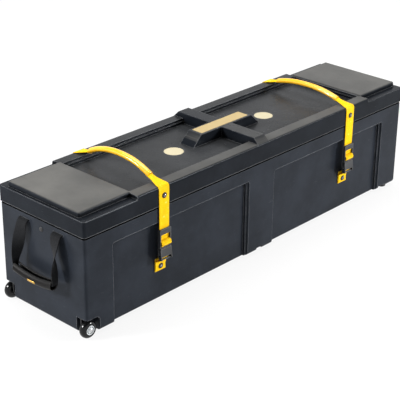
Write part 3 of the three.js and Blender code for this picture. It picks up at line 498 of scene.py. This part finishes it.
axle = turned("axle_pattern", [
    (0.0003, -0.0028), (0.002, -0.00265), (0.0038, -0.0022), (0.0052, -0.0015), (0.0061, -0.0007),
    (0.0063, -0.0003), (0.0062, 0), (0.004, 0), (0.004, 0.0223), (0.0062, 0.0223),
    (0.0065, 0.0226), (0.0065, 0.0234), (0.0062, 0.0237), (0.004, 0.0237), (0.004, 0.0273),
], 32)
for piece in (tyre, hub, axle):
    soften(piece, 50)

bpy.ops.mesh.primitive_cylinder_add(
    vertices=6, radius=nut_radius, depth=nut_depth, location=(0, nut_y, 0),
    rotation=(math.pi / 2, 0, 0),
)
nut = bpy.context.object
bpy.ops.object.transform_apply(location=True, rotation=True, scale=True)
round_edges(nut, 0.0006, 2, 30, clamp=True)
soften(nut, 40)
bpy.ops.object.select_all(action="DESELECT")
nut.select_set(True)
axle.select_set(True)
bpy.context.view_layer.objects.active = axle
bpy.ops.object.join()

# For each side, the sign of its places along Y as given for the front, and its turn about Z
facing = {"front": (1, 0), "rear": (-1, math.pi)}
for side, (flip, turn) in facing.items():
    place = (wheel_x, flip * wheel_face, wheel_z)
    made = set_at(tyre, f"tyre_{side}", place, turn)
    fit(made, f"wheel_{side}", tyre_black, "tyre", f"wheel_tyre_{side}")
    made = set_at(hub, f"hub_{side}", place, turn)
    fit(made, f"wheel_{side}", hub_white, "hub", f"wheel_hub_{side}")
    # The hub's inner side takes the tyre's black: painted shade for the dark well.
    made.data.materials.append(tyre_black)
    for face in made.data.polygons:
        face.material_index = int(abs(face.center.y) < abs(wheel_face) - hub_pale_depth)
    made = set_at(axle, f"axle_{side}", place, turn)
    fit(made, "tub", zinc, "steel", f"wheel_axle_{side}")
    made = moulding(f"bracket_{side}", f"wheel_bracket_{side}", 0.0006)
    fit(made, "tub", bracket_paint, "bracket", f"wheel_bracket_{side}")
for piece in (tyre, hub, axle):
    put_away(piece)

# Feet: two rubber buttons under the end that has no wheels, so that the case stands level. Each
# is moulded with a shallow hollow in its sole and sits under the tub's floor.
foot_x = 0.614
foot_y = 0.1315
rubber = satin_plastic(
    "foot_rubber", (0.012, 0.012, 0.012), (0.03, 0.029, 0.027), rough=0.62, grain=0.0002,
)
foot = turned("foot_pattern", [
    (0.0006, 0.0007), (0.009, 0.0007), (0.0096, 0), (0.012, 0), (0.0128, 0.0006), (0.0134, 0.002),
    (0.014, 0.0085), (0.0139, 0.0092), (0.0134, 0.0096), (0.0006, 0.0097),
], 40)
foot.data.transform(Matrix.Rotation(math.pi / 2, 4, "X"))
soften(foot, 45)
for side, flip in (("front", -1), ("rear", 1)):
    made = set_at(foot, f"foot_pad_{side}", (foot_x, flip * foot_y, 0))
    fit(made, "tub", rubber, "foot", f"foot_{side}")
put_away(foot)

# End handles: one run of black webbing comes out through two slots in the end wall, twists
# edge-on and passes through a split rubber grip with a bare gold tag stuck on. A plate behind
# the wall spreads the load.
def strip_row(name, width, columns):
    """The first edge of a strip of webbing: a straight row of points across X."""
    bpy.ops.mesh.primitive_grid_add(x_subdivisions=columns, y_subdivisions=1, size=1)
    piece = bpy.context.object
    piece.name = name
    cut_away(piece, lambda place: place.y > 0)
    bpy.ops.mesh.select_all(action="SELECT")
    bpy.ops.transform.translate(value=(0, 0.5, 0))
    bpy.ops.transform.resize(value=(width, 1, 1), center_override=(0, 0, 0))
    return piece


def lay(piece, stations, real_width):
    """Carries the selected edge on through its stations, and gives the cloth its chart.

    A station is its place, its turn about Z, its width and its height as shares of the first.
    The chart goes by the order of the points, which extruding doesn't keep. So it is out of
    order, and differs from one run to the next.
    """
    place, turn, width, height = stations[0]
    bpy.ops.mesh.select_all(action="SELECT")
    bpy.ops.transform.translate(value=place)
    row = len(piece.data.vertices)
    lengths = [0.0]
    for next_place, next_turn, next_width, next_height in stations[1:]:
        step = Vector(next_place) - Vector(place)
        bpy.ops.mesh.extrude_region_move(TRANSFORM_OT_translate={"value": step})
        if next_turn != turn:
            bpy.ops.transform.rotate(
                value=turn - next_turn, orient_axis="Z", center_override=next_place,
            )
        if (next_width, next_height) != (width, height):
            wide, high = next_width / width, next_height / height
            bpy.ops.transform.resize(value=(wide, wide, high), center_override=next_place)
        lengths.append(lengths[-1] + step.length)
        place, turn, width, height = next_place, next_turn, next_width, next_height
    bpy.ops.mesh.select_all(action="SELECT")
    bpy.ops.mesh.normals_make_consistent(inside=False)
    bpy.ops.object.mode_set(mode="OBJECT")
    cloth = piece.data.uv_layers.new(name="cloth")
    for corner in piece.data.loops:
        down, over = divmod(corner.vertex_index, row)
        cloth.data[corner.index].uv = ((over / (row - 1) - 0.5) * real_width, lengths[down])


def build_wall(piece, thickness, offset=0):
    """Gives a sheet a wall, half to each side, or all of it outwards where the offset is 1."""
    only(piece)
    wall = piece.modifiers.new("wall", "SOLIDIFY")
    wall.thickness = thickness
    wall.offset = offset
    bpy.ops.object.modifier_apply(modifier="wall")


def give_thickness(piece, thickness, levels):
    """Turns a laid sheet into cloth of its real thickness with soft edges."""
    build_wall(piece, thickness)
    round_edges(piece, 0.0006, 2, 60)
    smoothing = piece.modifiers.new("smoothing", "SUBSURF")
    smoothing.levels = levels
    smoothing.render_levels = levels
    bpy.ops.object.modifier_apply(modifier="smoothing")
    bpy.ops.object.shade_smooth_by_angle(angle=math.radians(60))


def woven(name, deep, bright, hem_highlight, pitch=(0.0016, 0.0024), relief_depth=0.00035, rough=0.62):
    """Flat webbing: rows of warp yarns that the weft dips, with firm edges. The valleys between the
    yarns are darker as painted shade, and the edges paler as a painted highlight.
    """
    material, paint = new_finish(name)
    chart = paint.node("ShaderNodeUVMap", {"uv_map": "cloth"})
    across = paint.node("ShaderNodeSeparateXYZ", sockets={"Vector": chart}, output="X")
    along = paint.node("ShaderNodeSeparateXYZ", sockets={"Vector": chart}, output="Y")
    place = paint.node("ShaderNodeTexCoord", output="Object")
    fluff = paint.node(
        "ShaderNodeTexNoise",
        sockets={"Vector": place, "Scale": 1500, "Detail": 3},
        output="Fac",
    )
    soil = paint.node(
        "ShaderNodeTexNoise", sockets={"Vector": place, "Scale": 38, "Detail": 4}, output="Fac",
    )
    yarn = across / pitch[0] + 400
    odd = (yarn / 2).math("FRACT").math("GREATER_THAN", 0.5)
    round_yarn = (yarn.math("FRACT") * math.pi).math("SINE")
    dip = ((along / pitch[1] + odd * 0.5) * (2 * math.pi)).math("SINE") * 0.5 + 0.5
    cloth = round_yarn ** 0.6 * (0.35 + 0.65 * dip)
    edge = abs(across).between(0.0152, 0.0172)
    firm = ((along / 0.0011) * (2 * math.pi)).math("SINE") * 0.25 + 0.6
    height = cloth * (1 - edge) + firm * edge
    # Darker in the valleys of the weave: painted shade.
    skin = (height * 0.85 + 0.25 * fluff).math("MINIMUM", 1).tint((*deep, 1), (*bright, 1))
    # Paler at the edges: painted highlight.
    skin = (edge * 0.55).tint(skin, (*hem_highlight, 1))
    worn = soil.between(0.45, 0.75) * 0.22
    skin = worn.tint(skin, [0.75 * part for part in deep] + [1])
    relief = paint.node(
        "ShaderNodeBump",
        sockets={
            "Strength": 0.7,
            "Distance": relief_depth,
            "Height": height + 0.3 * fluff,
        },
    )
    body = paint.node(
        "ShaderNodeBsdfPrincipled",
        sockets={
            "Base Color": skin,
            "Roughness": rough + 0.15 * (1 - height) + 0.1 * fluff,
            "Specular IOR Level": 0.1,
            "Sheen Weight": 0.08,
            "Sheen Roughness": 0.4,
            "Normal": relief,
        },
    )
    paint.node("ShaderNodeOutputMaterial", sockets={"Surface": body})
    return material


pivot_x = -0.6535
slot_z = 0.26
leg_y = 0.0625
handle_width = 0.034
grip_x = -0.0215
grip_drop = 0.128
grip_sag = 0.007
grip_half = 0.066
grip_step = 0.0071
grip_radius = 0.0122
tag_half = 0.0145
tag_low = -0.1425
tag_high = -0.1335
black_cloth = woven(
    "black_webbing", (0.003, 0.003, 0.004), (0.014, 0.015, 0.017), (0.02, 0.021, 0.024),
)
grip_rubber = satin_plastic(
    "grip_rubber", (0.005, 0.0045, 0.0045), (0.006, 0.006, 0.006),
    rough=0.42, grain=0.00006, sheen=0.1,
)

quarter = math.pi / 2
# Places from the pivot: out, along Y, down, then the share of the quarter turn and the width
leg_stations = [
    (-0.0195, 0, 0.0002, 0, 1), (-0.012, 0, 0, 0, 1), (-0.0045, 0, 0.0002, 0, 1),
    (-0.0005, 0, -0.0006, 0, 1), (0.0028, 0, -0.0034, 0, 1), (0.0066, 0.0002, -0.0115, 0.02, 1),
    (0.0106, 0.0014, -0.031, 0.16, 1), (0.0146, 0.0042, -0.058, 0.46, 0.97),
    (0.0182, 0.0078, -0.087, 0.82, 0.9), (0.0204, 0.0132, -0.114, 1, 0.6),
    (0.0213, 0.0112, -0.1265, 1, 0.46), (0.0215, 0.0025, -0.1288, 1, 0.44),
    (0.0215, -0.0145, -0.1312, 1, 0.44), (0.0215, -0.0305, -0.1333, 1, 0.44),
    (0.0215, -0.0465, -0.1346, 1, 0.44), (0.0215, -0.0625, -0.135, 1, 0.44),
]
webbing = strip_row("webbing_pattern", handle_width, 6)
bpy.ops.transform.rotate(value=-quarter, orient_axis="Z", center_override=(0, 0, 0))
lay(webbing, [
    ((-out, leg_y + bulge, down), turn * quarter, width, 1)
    for out, bulge, down, turn, width in leg_stations
], handle_width)
only(webbing)
halving = webbing.modifiers.new("halving", "MIRROR")
halving.use_axis = (False, True, False)
halving.use_mirror_merge = True
halving.merge_threshold = 0.0005
bpy.ops.object.modifier_apply(modifier="halving")
give_thickness(webbing, 0.0022, 2)

grip_path = []
for count in range(-10, 11):
    reach = count * grip_step
    grip_path.append((reach, -grip_drop - grip_sag * (1 - (reach / grip_half) ** 2)))
bpy.ops.mesh.primitive_circle_add(
    vertices=28, radius=grip_radius, location=(0, 0, 0), rotation=(math.pi / 2, 0, 0),
)
grip = bpy.context.object
bpy.ops.object.transform_apply(location=True, rotation=True, scale=True)
# The topmost points go, which leaves the split along the grip
cut_away(grip, lambda place: place.z > 0.0118)
bpy.ops.mesh.select_all(action="SELECT")
bpy.ops.transform.translate(value=(grip_x, grip_path[0][0], grip_path[0][1]))
for (reach, level), (next_reach, next_level) in zip(grip_path, grip_path[1:]):
    step = (0, next_reach - reach, next_level - level)
    bpy.ops.mesh.extrude_region_move(TRANSFORM_OT_translate={"value": step})
bpy.ops.mesh.select_all(action="SELECT")
bpy.ops.mesh.normals_make_consistent(inside=False)
bpy.ops.object.mode_set(mode="OBJECT")
build_wall(grip, 0.0036)
round_edges(grip, 0.0013, 3, 50, clamp=True)
soften(grip, 50)


def under_tag(place):
    """The outer skin of the grip's middle, where the tag is stuck on."""
    outer = math.hypot(place.x - grip_x, place.z + 0.135) > 0.0128 and place.x < -0.03
    return outer and abs(place.y) < tag_half and tag_low < place.z < tag_high


tag = bpy.data.objects.new("tag_pattern", grip.data.copy())
bpy.context.scene.collection.objects.link(tag)
cut_away(tag, lambda place: not under_tag(place))
bpy.ops.object.mode_set(mode="OBJECT")
build_wall(tag, 0.0006, offset=1)
tag_gold = plated_steel("tag_gold", (0.72, 0.45, 0.12), 0.4)

for end, flip, turn in (("left", 1, 0), ("right", -1, math.pi)):
    place = (flip * pivot_x, 0, slot_z)
    body = f"end_handle_{end}"
    made = set_at(webbing, f"handle_web_{end}", place, turn)
    made.data.materials.append(black_cloth)
    anchors = [f"handle_anchor_{side}_{end}" for side in ("front", "rear")]
    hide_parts(f"handle_webbing_{end}", *anchors)
    start = (flip * (pivot_x + 0.003), 0, slot_z + 0.002)
    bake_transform(made)
    made = set_at(grip, f"grip_{end}", place, turn)
    fit(made, body, grip_rubber, "grip", f"handle_grip_{end}")
    made = set_at(tag, f"tag_{end}", place, turn)
    made.data.materials.clear()
    made.data.materials.append(tag_gold)
    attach(made, body)
    made = moulding(f"back_plate_{end}", f"handle_plate_{end}", 0.0004)
    fit(made, "tub", bracket_paint, "steel", f"handle_plate_{end}")
put_away(webbing)
put_away(grip)
put_away(tag)

# Buckle bodies: the socket half of each side-release buckle, moulded in black acetal. A short
# doubled tab of yellow webbing goes round its bar and is riveted to the panel below it. The
# tab pulls the lower part of the socket in towards the panel.
station_x = {"left": -0.383, "right": 0.383}
bar_y = -0.1614
webbing_width = 0.038
webbing_thickness = 0.0019
tab_rivet_place = (-0.1471, 0.1041)
dome_radius = 0.0047
dome_height = 0.0031
buckle_black = satin_plastic(
    "buckle_black", (0.022, 0.023, 0.025), (0.035, 0.035, 0.035),
    rough=0.42, grain=0.00006, worn=0.5,
)
rivet_black = satin_plastic(
    "rivet_black", (0.005, 0.005, 0.005), (0.01, 0.01, 0.01),
    rough=0.3, grain=0.00002, worn=0.1, sheen=0.3,
)
gunmetal = plated_steel("gunmetal", (0.24, 0.24, 0.25), 0.16)
yellow_cloth = woven(
    "yellow_webbing", (0.8, 0.38, 0.0006), (0.94, 0.64, 0.0012), (0.96, 0.84, 0.2),
)

tab_path = [
    (-0.1438, 0.0911), (-0.1438, 0.1), (-0.1438, 0.109), (-0.1439, 0.1145), (-0.1446, 0.1185),
    (-0.1478, 0.1222), (-0.1528, 0.1248), (-0.1572, 0.1278), (-0.1579, 0.131), (-0.1589, 0.1334),
    (-0.1614, 0.1344), (-0.1639, 0.1334), (-0.1649, 0.1309), (-0.1645, 0.127), (-0.1622, 0.123),
    (-0.1575, 0.1196), (-0.1522, 0.1168), (-0.148, 0.1142), (-0.1462, 0.1105), (-0.1459, 0.104),
    (-0.1459, 0.0975), (-0.1459, 0.0911),
]
# The lean starts at this level, and takes the tab along above and outside of its riveted end
lean_z = 0.1465
lean_in = math.radians(13)
riveted_top = 0.1195
riveted_face = -0.15
# Level, and the tab's width there as a share of the webbing
spread = ((0.0911, 1.0), (0.098, 0.93), (0.105, 0.92), (0.112, 0.97), (0.1165, 1.0), (0.123, 0.83))
tab_stations = []
for y, z in tab_path:
    low = max((pair for pair in spread if pair[0] <= z), default=spread[0])
    high = min((pair for pair in spread if pair[0] > z), default=spread[-1])
    way = (z - low[0]) / (high[0] - low[0]) if high[0] > low[0] else 0
    if z > riveted_top or y < riveted_face:
        away = Vector((0, y - bar_y, z - lean_z))
        away.rotate(Matrix.Rotation(lean_in, 3, "X"))
        y, z = away.y + bar_y, away.z + lean_z
    tab_stations.append(((0, y, z), 0, low[1] + way * (high[1] - low[1]), 1))
tab = strip_row("tab_pattern", webbing_width, 8)
lay(tab, tab_stations, webbing_width)
give_thickness(tab, webbing_thickness, 1)


def rivet_pattern(grip_length):
    """A rivet with a flat washer, its domed head towards -Y and its tail spread behind."""
    made = turned("rivet_pattern", [
        (0.0003, -0.0042), (0.0014, -0.00412), (0.0026, -0.0038), (0.0036, -0.0032),
        (0.0043, -0.0023), (0.0046, -0.0014), (0.0046, -0.0012), (0.0071, -0.0012),
        (0.0076, -0.0011), (0.0079, -0.0008), (0.008, -0.0004), (0.0079, 0), (0.0016, 0),
        (0.0016, grip_length), (0.0063, grip_length), (0.0065, grip_length + 0.0004),
        (0.0062, grip_length + 0.0014), (0.005, grip_length + 0.0019),
        (0.0006, grip_length + 0.002),
    ], 32)
    soften(made, 45)
    return made


def crown(pin):
    """Gives the dome of a rivet its bright finish, inside the dull washer."""
    pin.data.materials.append(gunmetal)
    tip = max(abs(point.co.y) for point in pin.data.vertices)
    middle = sum((point.co for point in pin.data.vertices), Vector()) / len(pin.data.vertices)
    for face in pin.data.polygons:
        off = face.center - middle
        near_axis = math.hypot(off.x, off.z) < dome_radius
        face.material_index = int(near_axis and tip - abs(face.center.y) < dome_height)


tab_rivet = rivet_pattern(0.0099)
stations = [(side, end) for side in ("front", "rear") for end in ("left", "right")]
for side, end in stations:
    flip, turn = facing[side]
    x = station_x[end]
    rivet_y, rivet_z = tab_rivet_place
    made = set_at(tab, f"tab_{side}_{end}", (x, 0, 0), turn)
    fit(made, "tub", yellow_cloth, "yellow_webbing", f"anchor_tab_{side}_{end}")
    made = set_at(tab_rivet, f"tab_pin_{side}_{end}", (x, flip * rivet_y, rivet_z), turn)
    fit(made, "tub", rivet_black, "black_rivet", f"tab_rivet_{side}_{end}")
    crown(made)
    made = moulding(f"buckle_socket_{side}_{end}", f"buckle_body_{side}_{end}", 0.0007)
    pick(made, lambda place: place.z < lean_z + 0.0005)
    bpy.ops.object.mode_set(mode="EDIT")
    bpy.ops.mesh.select_mode(type="VERT")
    bpy.ops.transform.rotate(
        value=flip * lean_in, orient_axis="X", center_override=(x, flip * bar_y, lean_z),
    )
    bpy.ops.object.mode_set(mode="OBJECT")
    fit(made, "tub", buckle_black, "buckle", f"buckle_body_{side}_{end}")
put_away(tab)
put_away(tab_rivet)

# Lid: the same black plastic, moulded with rails and plateaus round a sunk tray, and with a
# cross-shaped boss that carries the nameplate. Its skirt closes down over the tub's lip.
def lid_dust_and_sheen(x, y, z):
    """Where the lid's top takes dusting and a painted sheen: most on the plateaus, less on the
    right-hand one and towards the tray and the front, much on the front rails, less on the back
    rails, the boss and the tray, and hardly any on the ledges.
    """
    proud = z.between(0.3312, 0.3322)
    plateau = z.between(0.3352, 0.3362) * (1 - z.between(0.3375, 0.3385))
    nearer = (abs(x) * -1.2 - y).between(-0.75, -0.5)
    plateau = plateau * (1.0 - 0.2 * x.between(-0.5, 0.5)) * (1 - 0.55 * nearer)
    rail = 0.65 * (1 - plateau) * (1 - 0.75 * y.between(-0.05, 0.05))
    boss = z.between(0.34, 0.347)
    tray = 1 - z.between(0.3185, 0.3195)
    return 0.02 + proud * (plateau + rail) * (1 - 0.5 * boss) + 0.17 * tray


# The lid's tops carry dusting and a painted sheen, and its edges wear and a painted highlight.
lid_black = satin_plastic(
    "lid_black", (0.0082, 0.01, 0.0132), (0.12, 0.117, 0.109), sheen=0.07, worn=0.8,
    dust_and_sheen_spread=lid_dust_and_sheen, gloss=cool,
)
lid = moulding("lid_shell", "lid", 0.001, weld=0.0004)
fit(lid, "lid", lid_black, "shell", "lid")

# Nameplate and discs: a bare brass-coloured plate with a raised rim, let into the boss, and two
# pale satin discs in round seats beside it. All three are stuck down.
disc_x = 0.184
disc_z = 0.3173


def brushed(name, colour, deep, metal, rough, round_lines):
    """Fine tool lines in one direction, or round the middle of a disc."""
    material, paint = new_finish(name)
    place = paint.node("ShaderNodeTexCoord", output="Object")
    x = paint.node("ShaderNodeSeparateXYZ", sockets={"Vector": place}, output="X")
    y = paint.node("ShaderNodeSeparateXYZ", sockets={"Vector": place}, output="Y")
    if round_lines:
        from_middle = abs(x) - disc_x
        reach = (from_middle * from_middle + y * y).math("SQRT")
    else:
        reach = y
    lines = paint.node(
        "ShaderNodeTexNoise",
        {"noise_dimensions": "1D"},
        {"W": reach, "Scale": 2600, "Detail": 3},
        output="Fac",
    )
    cloud = paint.node(
        "ShaderNodeTexNoise", sockets={"Vector": place, "Scale": 60, "Detail": 4}, output="Fac",
    )
    skin = (0.55 * lines + 0.5 * cloud - 0.1).tint((*deep, 1), (*colour, 1))
    relief = paint.node(
        "ShaderNodeBump", sockets={"Strength": 0.25, "Distance": 0.00005, "Height": lines},
    )
    body = paint.node(
        "ShaderNodeBsdfPrincipled",
        sockets={
            "Base Color": skin,
            "Metallic": metal,
            "Roughness": rough + 0.16 * lines + 0.08 * cloud,
            "Normal": relief,
        },
    )
    paint.node("ShaderNodeOutputMaterial", sockets={"Surface": body})
    return material


brass = brushed("brass", (0.52, 0.41, 0.2), (0.4, 0.29, 0.12), 0.35, 0.34, False)
pale_satin = brushed("pale_satin", (0.54, 0.49, 0.34), (0.46, 0.4, 0.25), 0.15, 0.36, True)
plate = moulding("plate", "nameplate", 0.0003)
fit(plate, "lid", brass, "gold_plate", "nameplate")
disc = turned("disc_pattern", [
    (0.0006, -0.0003), (0.0235, -0.0003), (0.0243, -0.0001), (0.0248, 0), (0.0262, 0),
    (0.0267, 0.0002), (0.027, 0.0006), (0.027, 0.0015), (0.0006, 0.0015),
], 64)
disc.data.transform(Matrix.Rotation(-math.pi / 2, 4, "X"))
soften(disc, 30)
for end, x in (("left", -disc_x), ("right", disc_x)):
    made = set_at(disc, f"disc_{end}", (x, 0, disc_z))
    fit(made, "lid", pale_satin, "gold_plate", f"badge_disc_{end}")
put_away(disc)

# Carry loops: where each strap crosses the lid it is folded into a round sleeve of glossy
# yellow vinyl, arched up to make room for a hand. The left loop stands higher than the right.
def vinyl(name, colour, deep):
    """Soft glossy sleeving: slow shade changes, fine wrinkles across and a wet-looking coat."""
    material, paint = new_finish(name)
    place = paint.node("ShaderNodeTexCoord", output="Object")
    cloud = paint.node(
        "ShaderNodeTexNoise", sockets={"Vector": place, "Scale": 30, "Detail": 4}, output="Fac",
    )
    squeezed = paint.node(
        "ShaderNodeMapping", sockets={"Vector": place, "Scale": (0.35, 1, 0.35)},
    )
    wrinkle = paint.node(
        "ShaderNodeTexNoise", sockets={"Vector": squeezed, "Scale": 210, "Detail": 3}, output="Fac",
    )
    rubbed = cloud.between(0.55, 0.75)
    skin = (0.6 * cloud + 0.35 * wrinkle).tint((*deep, 1), (*colour, 1))
    relief = paint.node(
        "ShaderNodeBump", sockets={"Strength": 0.35, "Distance": 0.0005, "Height": wrinkle},
    )
    body = paint.node(
        "ShaderNodeBsdfPrincipled",
        sockets={
            "Base Color": skin,
            "Roughness": 0.3 + 0.2 * rubbed + 0.1 * wrinkle,
            "Specular IOR Level": 0.2,
            "Coat Weight": 0.9 - 0.4 * rubbed,
            "Coat Roughness": 0.07,
            "Normal": relief,
        },
    )
    paint.node("ShaderNodeOutputMaterial", sockets={"Surface": body})
    return material


rail_z = 0.333
sleeve_reach = 0.1117
sleeve_radius = 0.0092
sleeve_half_height = 0.0073
sleeve_steps = 40
# For each end, how far the sleeve's mouths stand above the rail, and its middle above them
loops = {"left": (0.013, 0.027), "right": (0.0105, 0.016)}
yellow_vinyl = vinyl("yellow_vinyl", (0.93, 0.56, 0.01), (0.8, 0.36, 0.003))
for end, (rise, arch) in loops.items():
    x = station_x[end]
    path = []
    for count in range(sleeve_steps + 1):
        share = 1 - 2 * count / sleeve_steps
        level = rail_z + rise + arch * (1 - abs(share) ** 2.2)
        path.append(Vector((x, share * sleeve_reach, level)))
    bpy.ops.mesh.primitive_circle_add(
        vertices=24, radius=sleeve_radius, location=path[0], rotation=(math.pi / 2, 0, 0),
    )
    sleeve = bpy.context.object
    sleeve.name = f"sleeve_{end}"
    bpy.ops.object.transform_apply(location=True, rotation=True, scale=True)
    bpy.ops.object.mode_set(mode="EDIT")
    bpy.ops.mesh.select_all(action="SELECT")
    flatness = sleeve_half_height / sleeve_radius
    bpy.ops.transform.resize(value=(1, 1, flatness), center_override=path[0])
    lean = 0.0
    for count in range(1, sleeve_steps + 1):
        step = path[count] - path[count - 1]
        bpy.ops.mesh.extrude_region_move(TRANSFORM_OT_translate={"value": step})
        after = path[min(count + 1, sleeve_steps)] - path[count - 1]
        next_lean = math.atan2(after.z, -after.y) if count < sleeve_steps else 0.0
        bpy.ops.transform.rotate(
            value=next_lean - lean, orient_axis="X", center_override=path[count],
        )
        lean = next_lean
    bpy.ops.mesh.select_all(action="DESELECT")
    bpy.ops.mesh.select_non_manifold()
    bpy.ops.mesh.extrude_region_move(TRANSFORM_OT_translate={"value": (0, 0, 0)})
    bpy.ops.object.mode_set(mode="OBJECT")
    # Each mouth gets a rim and a shallow closed hollow
    for flip in (-1, 1):
        only(sleeve)
        bpy.ops.object.mode_set(mode="EDIT")
        mouth = Vector((x, flip * sleeve_reach, rail_z + rise))
        bpy.ops.mesh.select_all(action="DESELECT")
        bpy.ops.mesh.select_non_manifold()
        bpy.ops.object.mode_set(mode="OBJECT")
        for point in sleeve.data.vertices:
            point.select = point.select and point.co.y * flip > 0
        for edge in sleeve.data.edges:
            edge.select = all(sleeve.data.vertices[index].select for index in edge.vertices)
        bpy.ops.object.mode_set(mode="EDIT")
        bpy.ops.transform.resize(value=(0.84, 1, 0.8), center_override=mouth)
        bpy.ops.mesh.extrude_region_move(TRANSFORM_OT_translate={"value": (0, -flip * 0.006, 0)})
        bpy.ops.mesh.edge_face_add()
        bpy.ops.object.mode_set(mode="OBJECT")
    bpy.ops.object.mode_set(mode="EDIT")
    bpy.ops.mesh.select_all(action="SELECT")
    bpy.ops.mesh.normals_make_consistent(inside=False)
    bpy.ops.object.mode_set(mode="OBJECT")
    soften(sleeve, 50)
    fit(sleeve, f"carry_loop_{end}", yellow_vinyl, "yellow_webbing", f"carry_loop_{end}")

# Lid straps: yellow webbing comes out of each sleeve folded, opens flat over the rail, is
# riveted to the skirt, and runs down through the plug of its buckle and round its bar.
strap_rivet = rivet_pattern(0.0084)
strap_rivet_place = (-0.1611, 0.307)
rail_turn = Vector((0, -0.152, 0.3265))
turn_radius = 0.0078
folded_width = 0.017
folded_height = 0.01
flat_width = 0.0355
flat_share = 0.002
full = flat_width / folded_width
for end, (rise, arch) in loops.items():
    bpy.ops.mesh.primitive_circle_add(vertices=20, radius=0.5, location=(0, 0, 0))
    strap = bpy.context.object
    strap.name = "strap_pattern"
    cut_away(strap, lambda place: place.y < -0.01)
    bpy.ops.mesh.select_all(action="SELECT")
    bpy.ops.transform.rotate(value=-quarter, orient_axis="X", center_override=(0, 0, 0))
    bpy.ops.transform.resize(value=(folded_width, 1, folded_height), center_override=(0, 0, 0))
    start = Vector((0, -0.109, rail_z + rise - 0.0015))
    flat = Vector((0, -0.1505, 0.3343))
    path_stations = []
    for count in range(12):
        share = count / 11
        place = Vector((0, start.y + (flat.y - start.y) * share, 0))
        place.z = start.z + (flat.z - start.z) * (1 - (1 - share) ** 1.15)
        opened = max(0, (share - 0.12) / 0.88)
        width = 1 + (full - 1) * opened ** 1.35
        path_stations.append((place, 0, width, max(1 - opened ** 0.8, flat_share)))
    for count in range(1, 6):
        angle = quarter + quarter * count / 5
        place = rail_turn + turn_radius * Vector((0, math.cos(angle), math.sin(angle)))
        path_stations.append((place, 0, full, flat_share))
    hanging = [
        (-0.1598, 0.314), (-0.1598, 0.3), (-0.1599, 0.286), (-0.1599, 0.268), (-0.16, 0.248),
        (-0.1599, 0.23), (-0.1598, 0.214), (-0.1599, 0.203), (-0.1598, 0.1985), (-0.1592, 0.193),
        (-0.1584, 0.1875), (-0.1592, 0.1846), (-0.1628, 0.184), (-0.1668, 0.1824),
        (-0.169, 0.1788), (-0.1694, 0.1748), (-0.168, 0.1714), (-0.1656, 0.1696),
        (-0.163, 0.1692), (-0.161, 0.1702), (-0.1596, 0.1722),
    ]
    for y, z in hanging:
        narrowed = full * (1 - 0.05 * max(0, min(1, (0.314 - z) / 0.1)))
        path_stations.append((Vector((0, y, z)), 0, narrowed, flat_share))
    lay(strap, path_stations, webbing_width)
    give_thickness(strap, webbing_thickness, 1)
    for side, (flip, turn) in facing.items():
        x = station_x[end]
        rivet_y, rivet_z = strap_rivet_place
        made = set_at(strap, f"strap_{side}_{end}", (x, 0, 0), turn)
        fit(made, "lid", yellow_cloth, "yellow_webbing", f"lid_strap_{side}_{end}")
        made = set_at(strap_rivet, f"strap_pin_{side}_{end}", (x, flip * rivet_y, rivet_z), turn)
        fit(made, "lid", rivet_black, "black_rivet", f"strap_rivet_{side}_{end}")
        crown(made)
    put_away(strap)
put_away(strap_rivet)

# Buckle plugs: the other half of each buckle, with a bar that the strap goes round, a tongue
# and two springy prongs that snap into the windows of the socket.
for side, end in stations:
    made = moulding(f"plug_{side}_{end}", f"buckle_plug_{side}_{end}", 0.0006)
    fit(made, "lid", buckle_black, "buckle", f"buckle_plug_{side}_{end}")
    for prong in ("a", "b"):
        node = f"buckle_prong_{prong}_{side}_{end}"
        made = moulding(f"prong_{prong}_{side}_{end}", node, 0.0005)
        fit(made, f"prong_{prong}_{side}_{end}", buckle_black, "buckle", node)
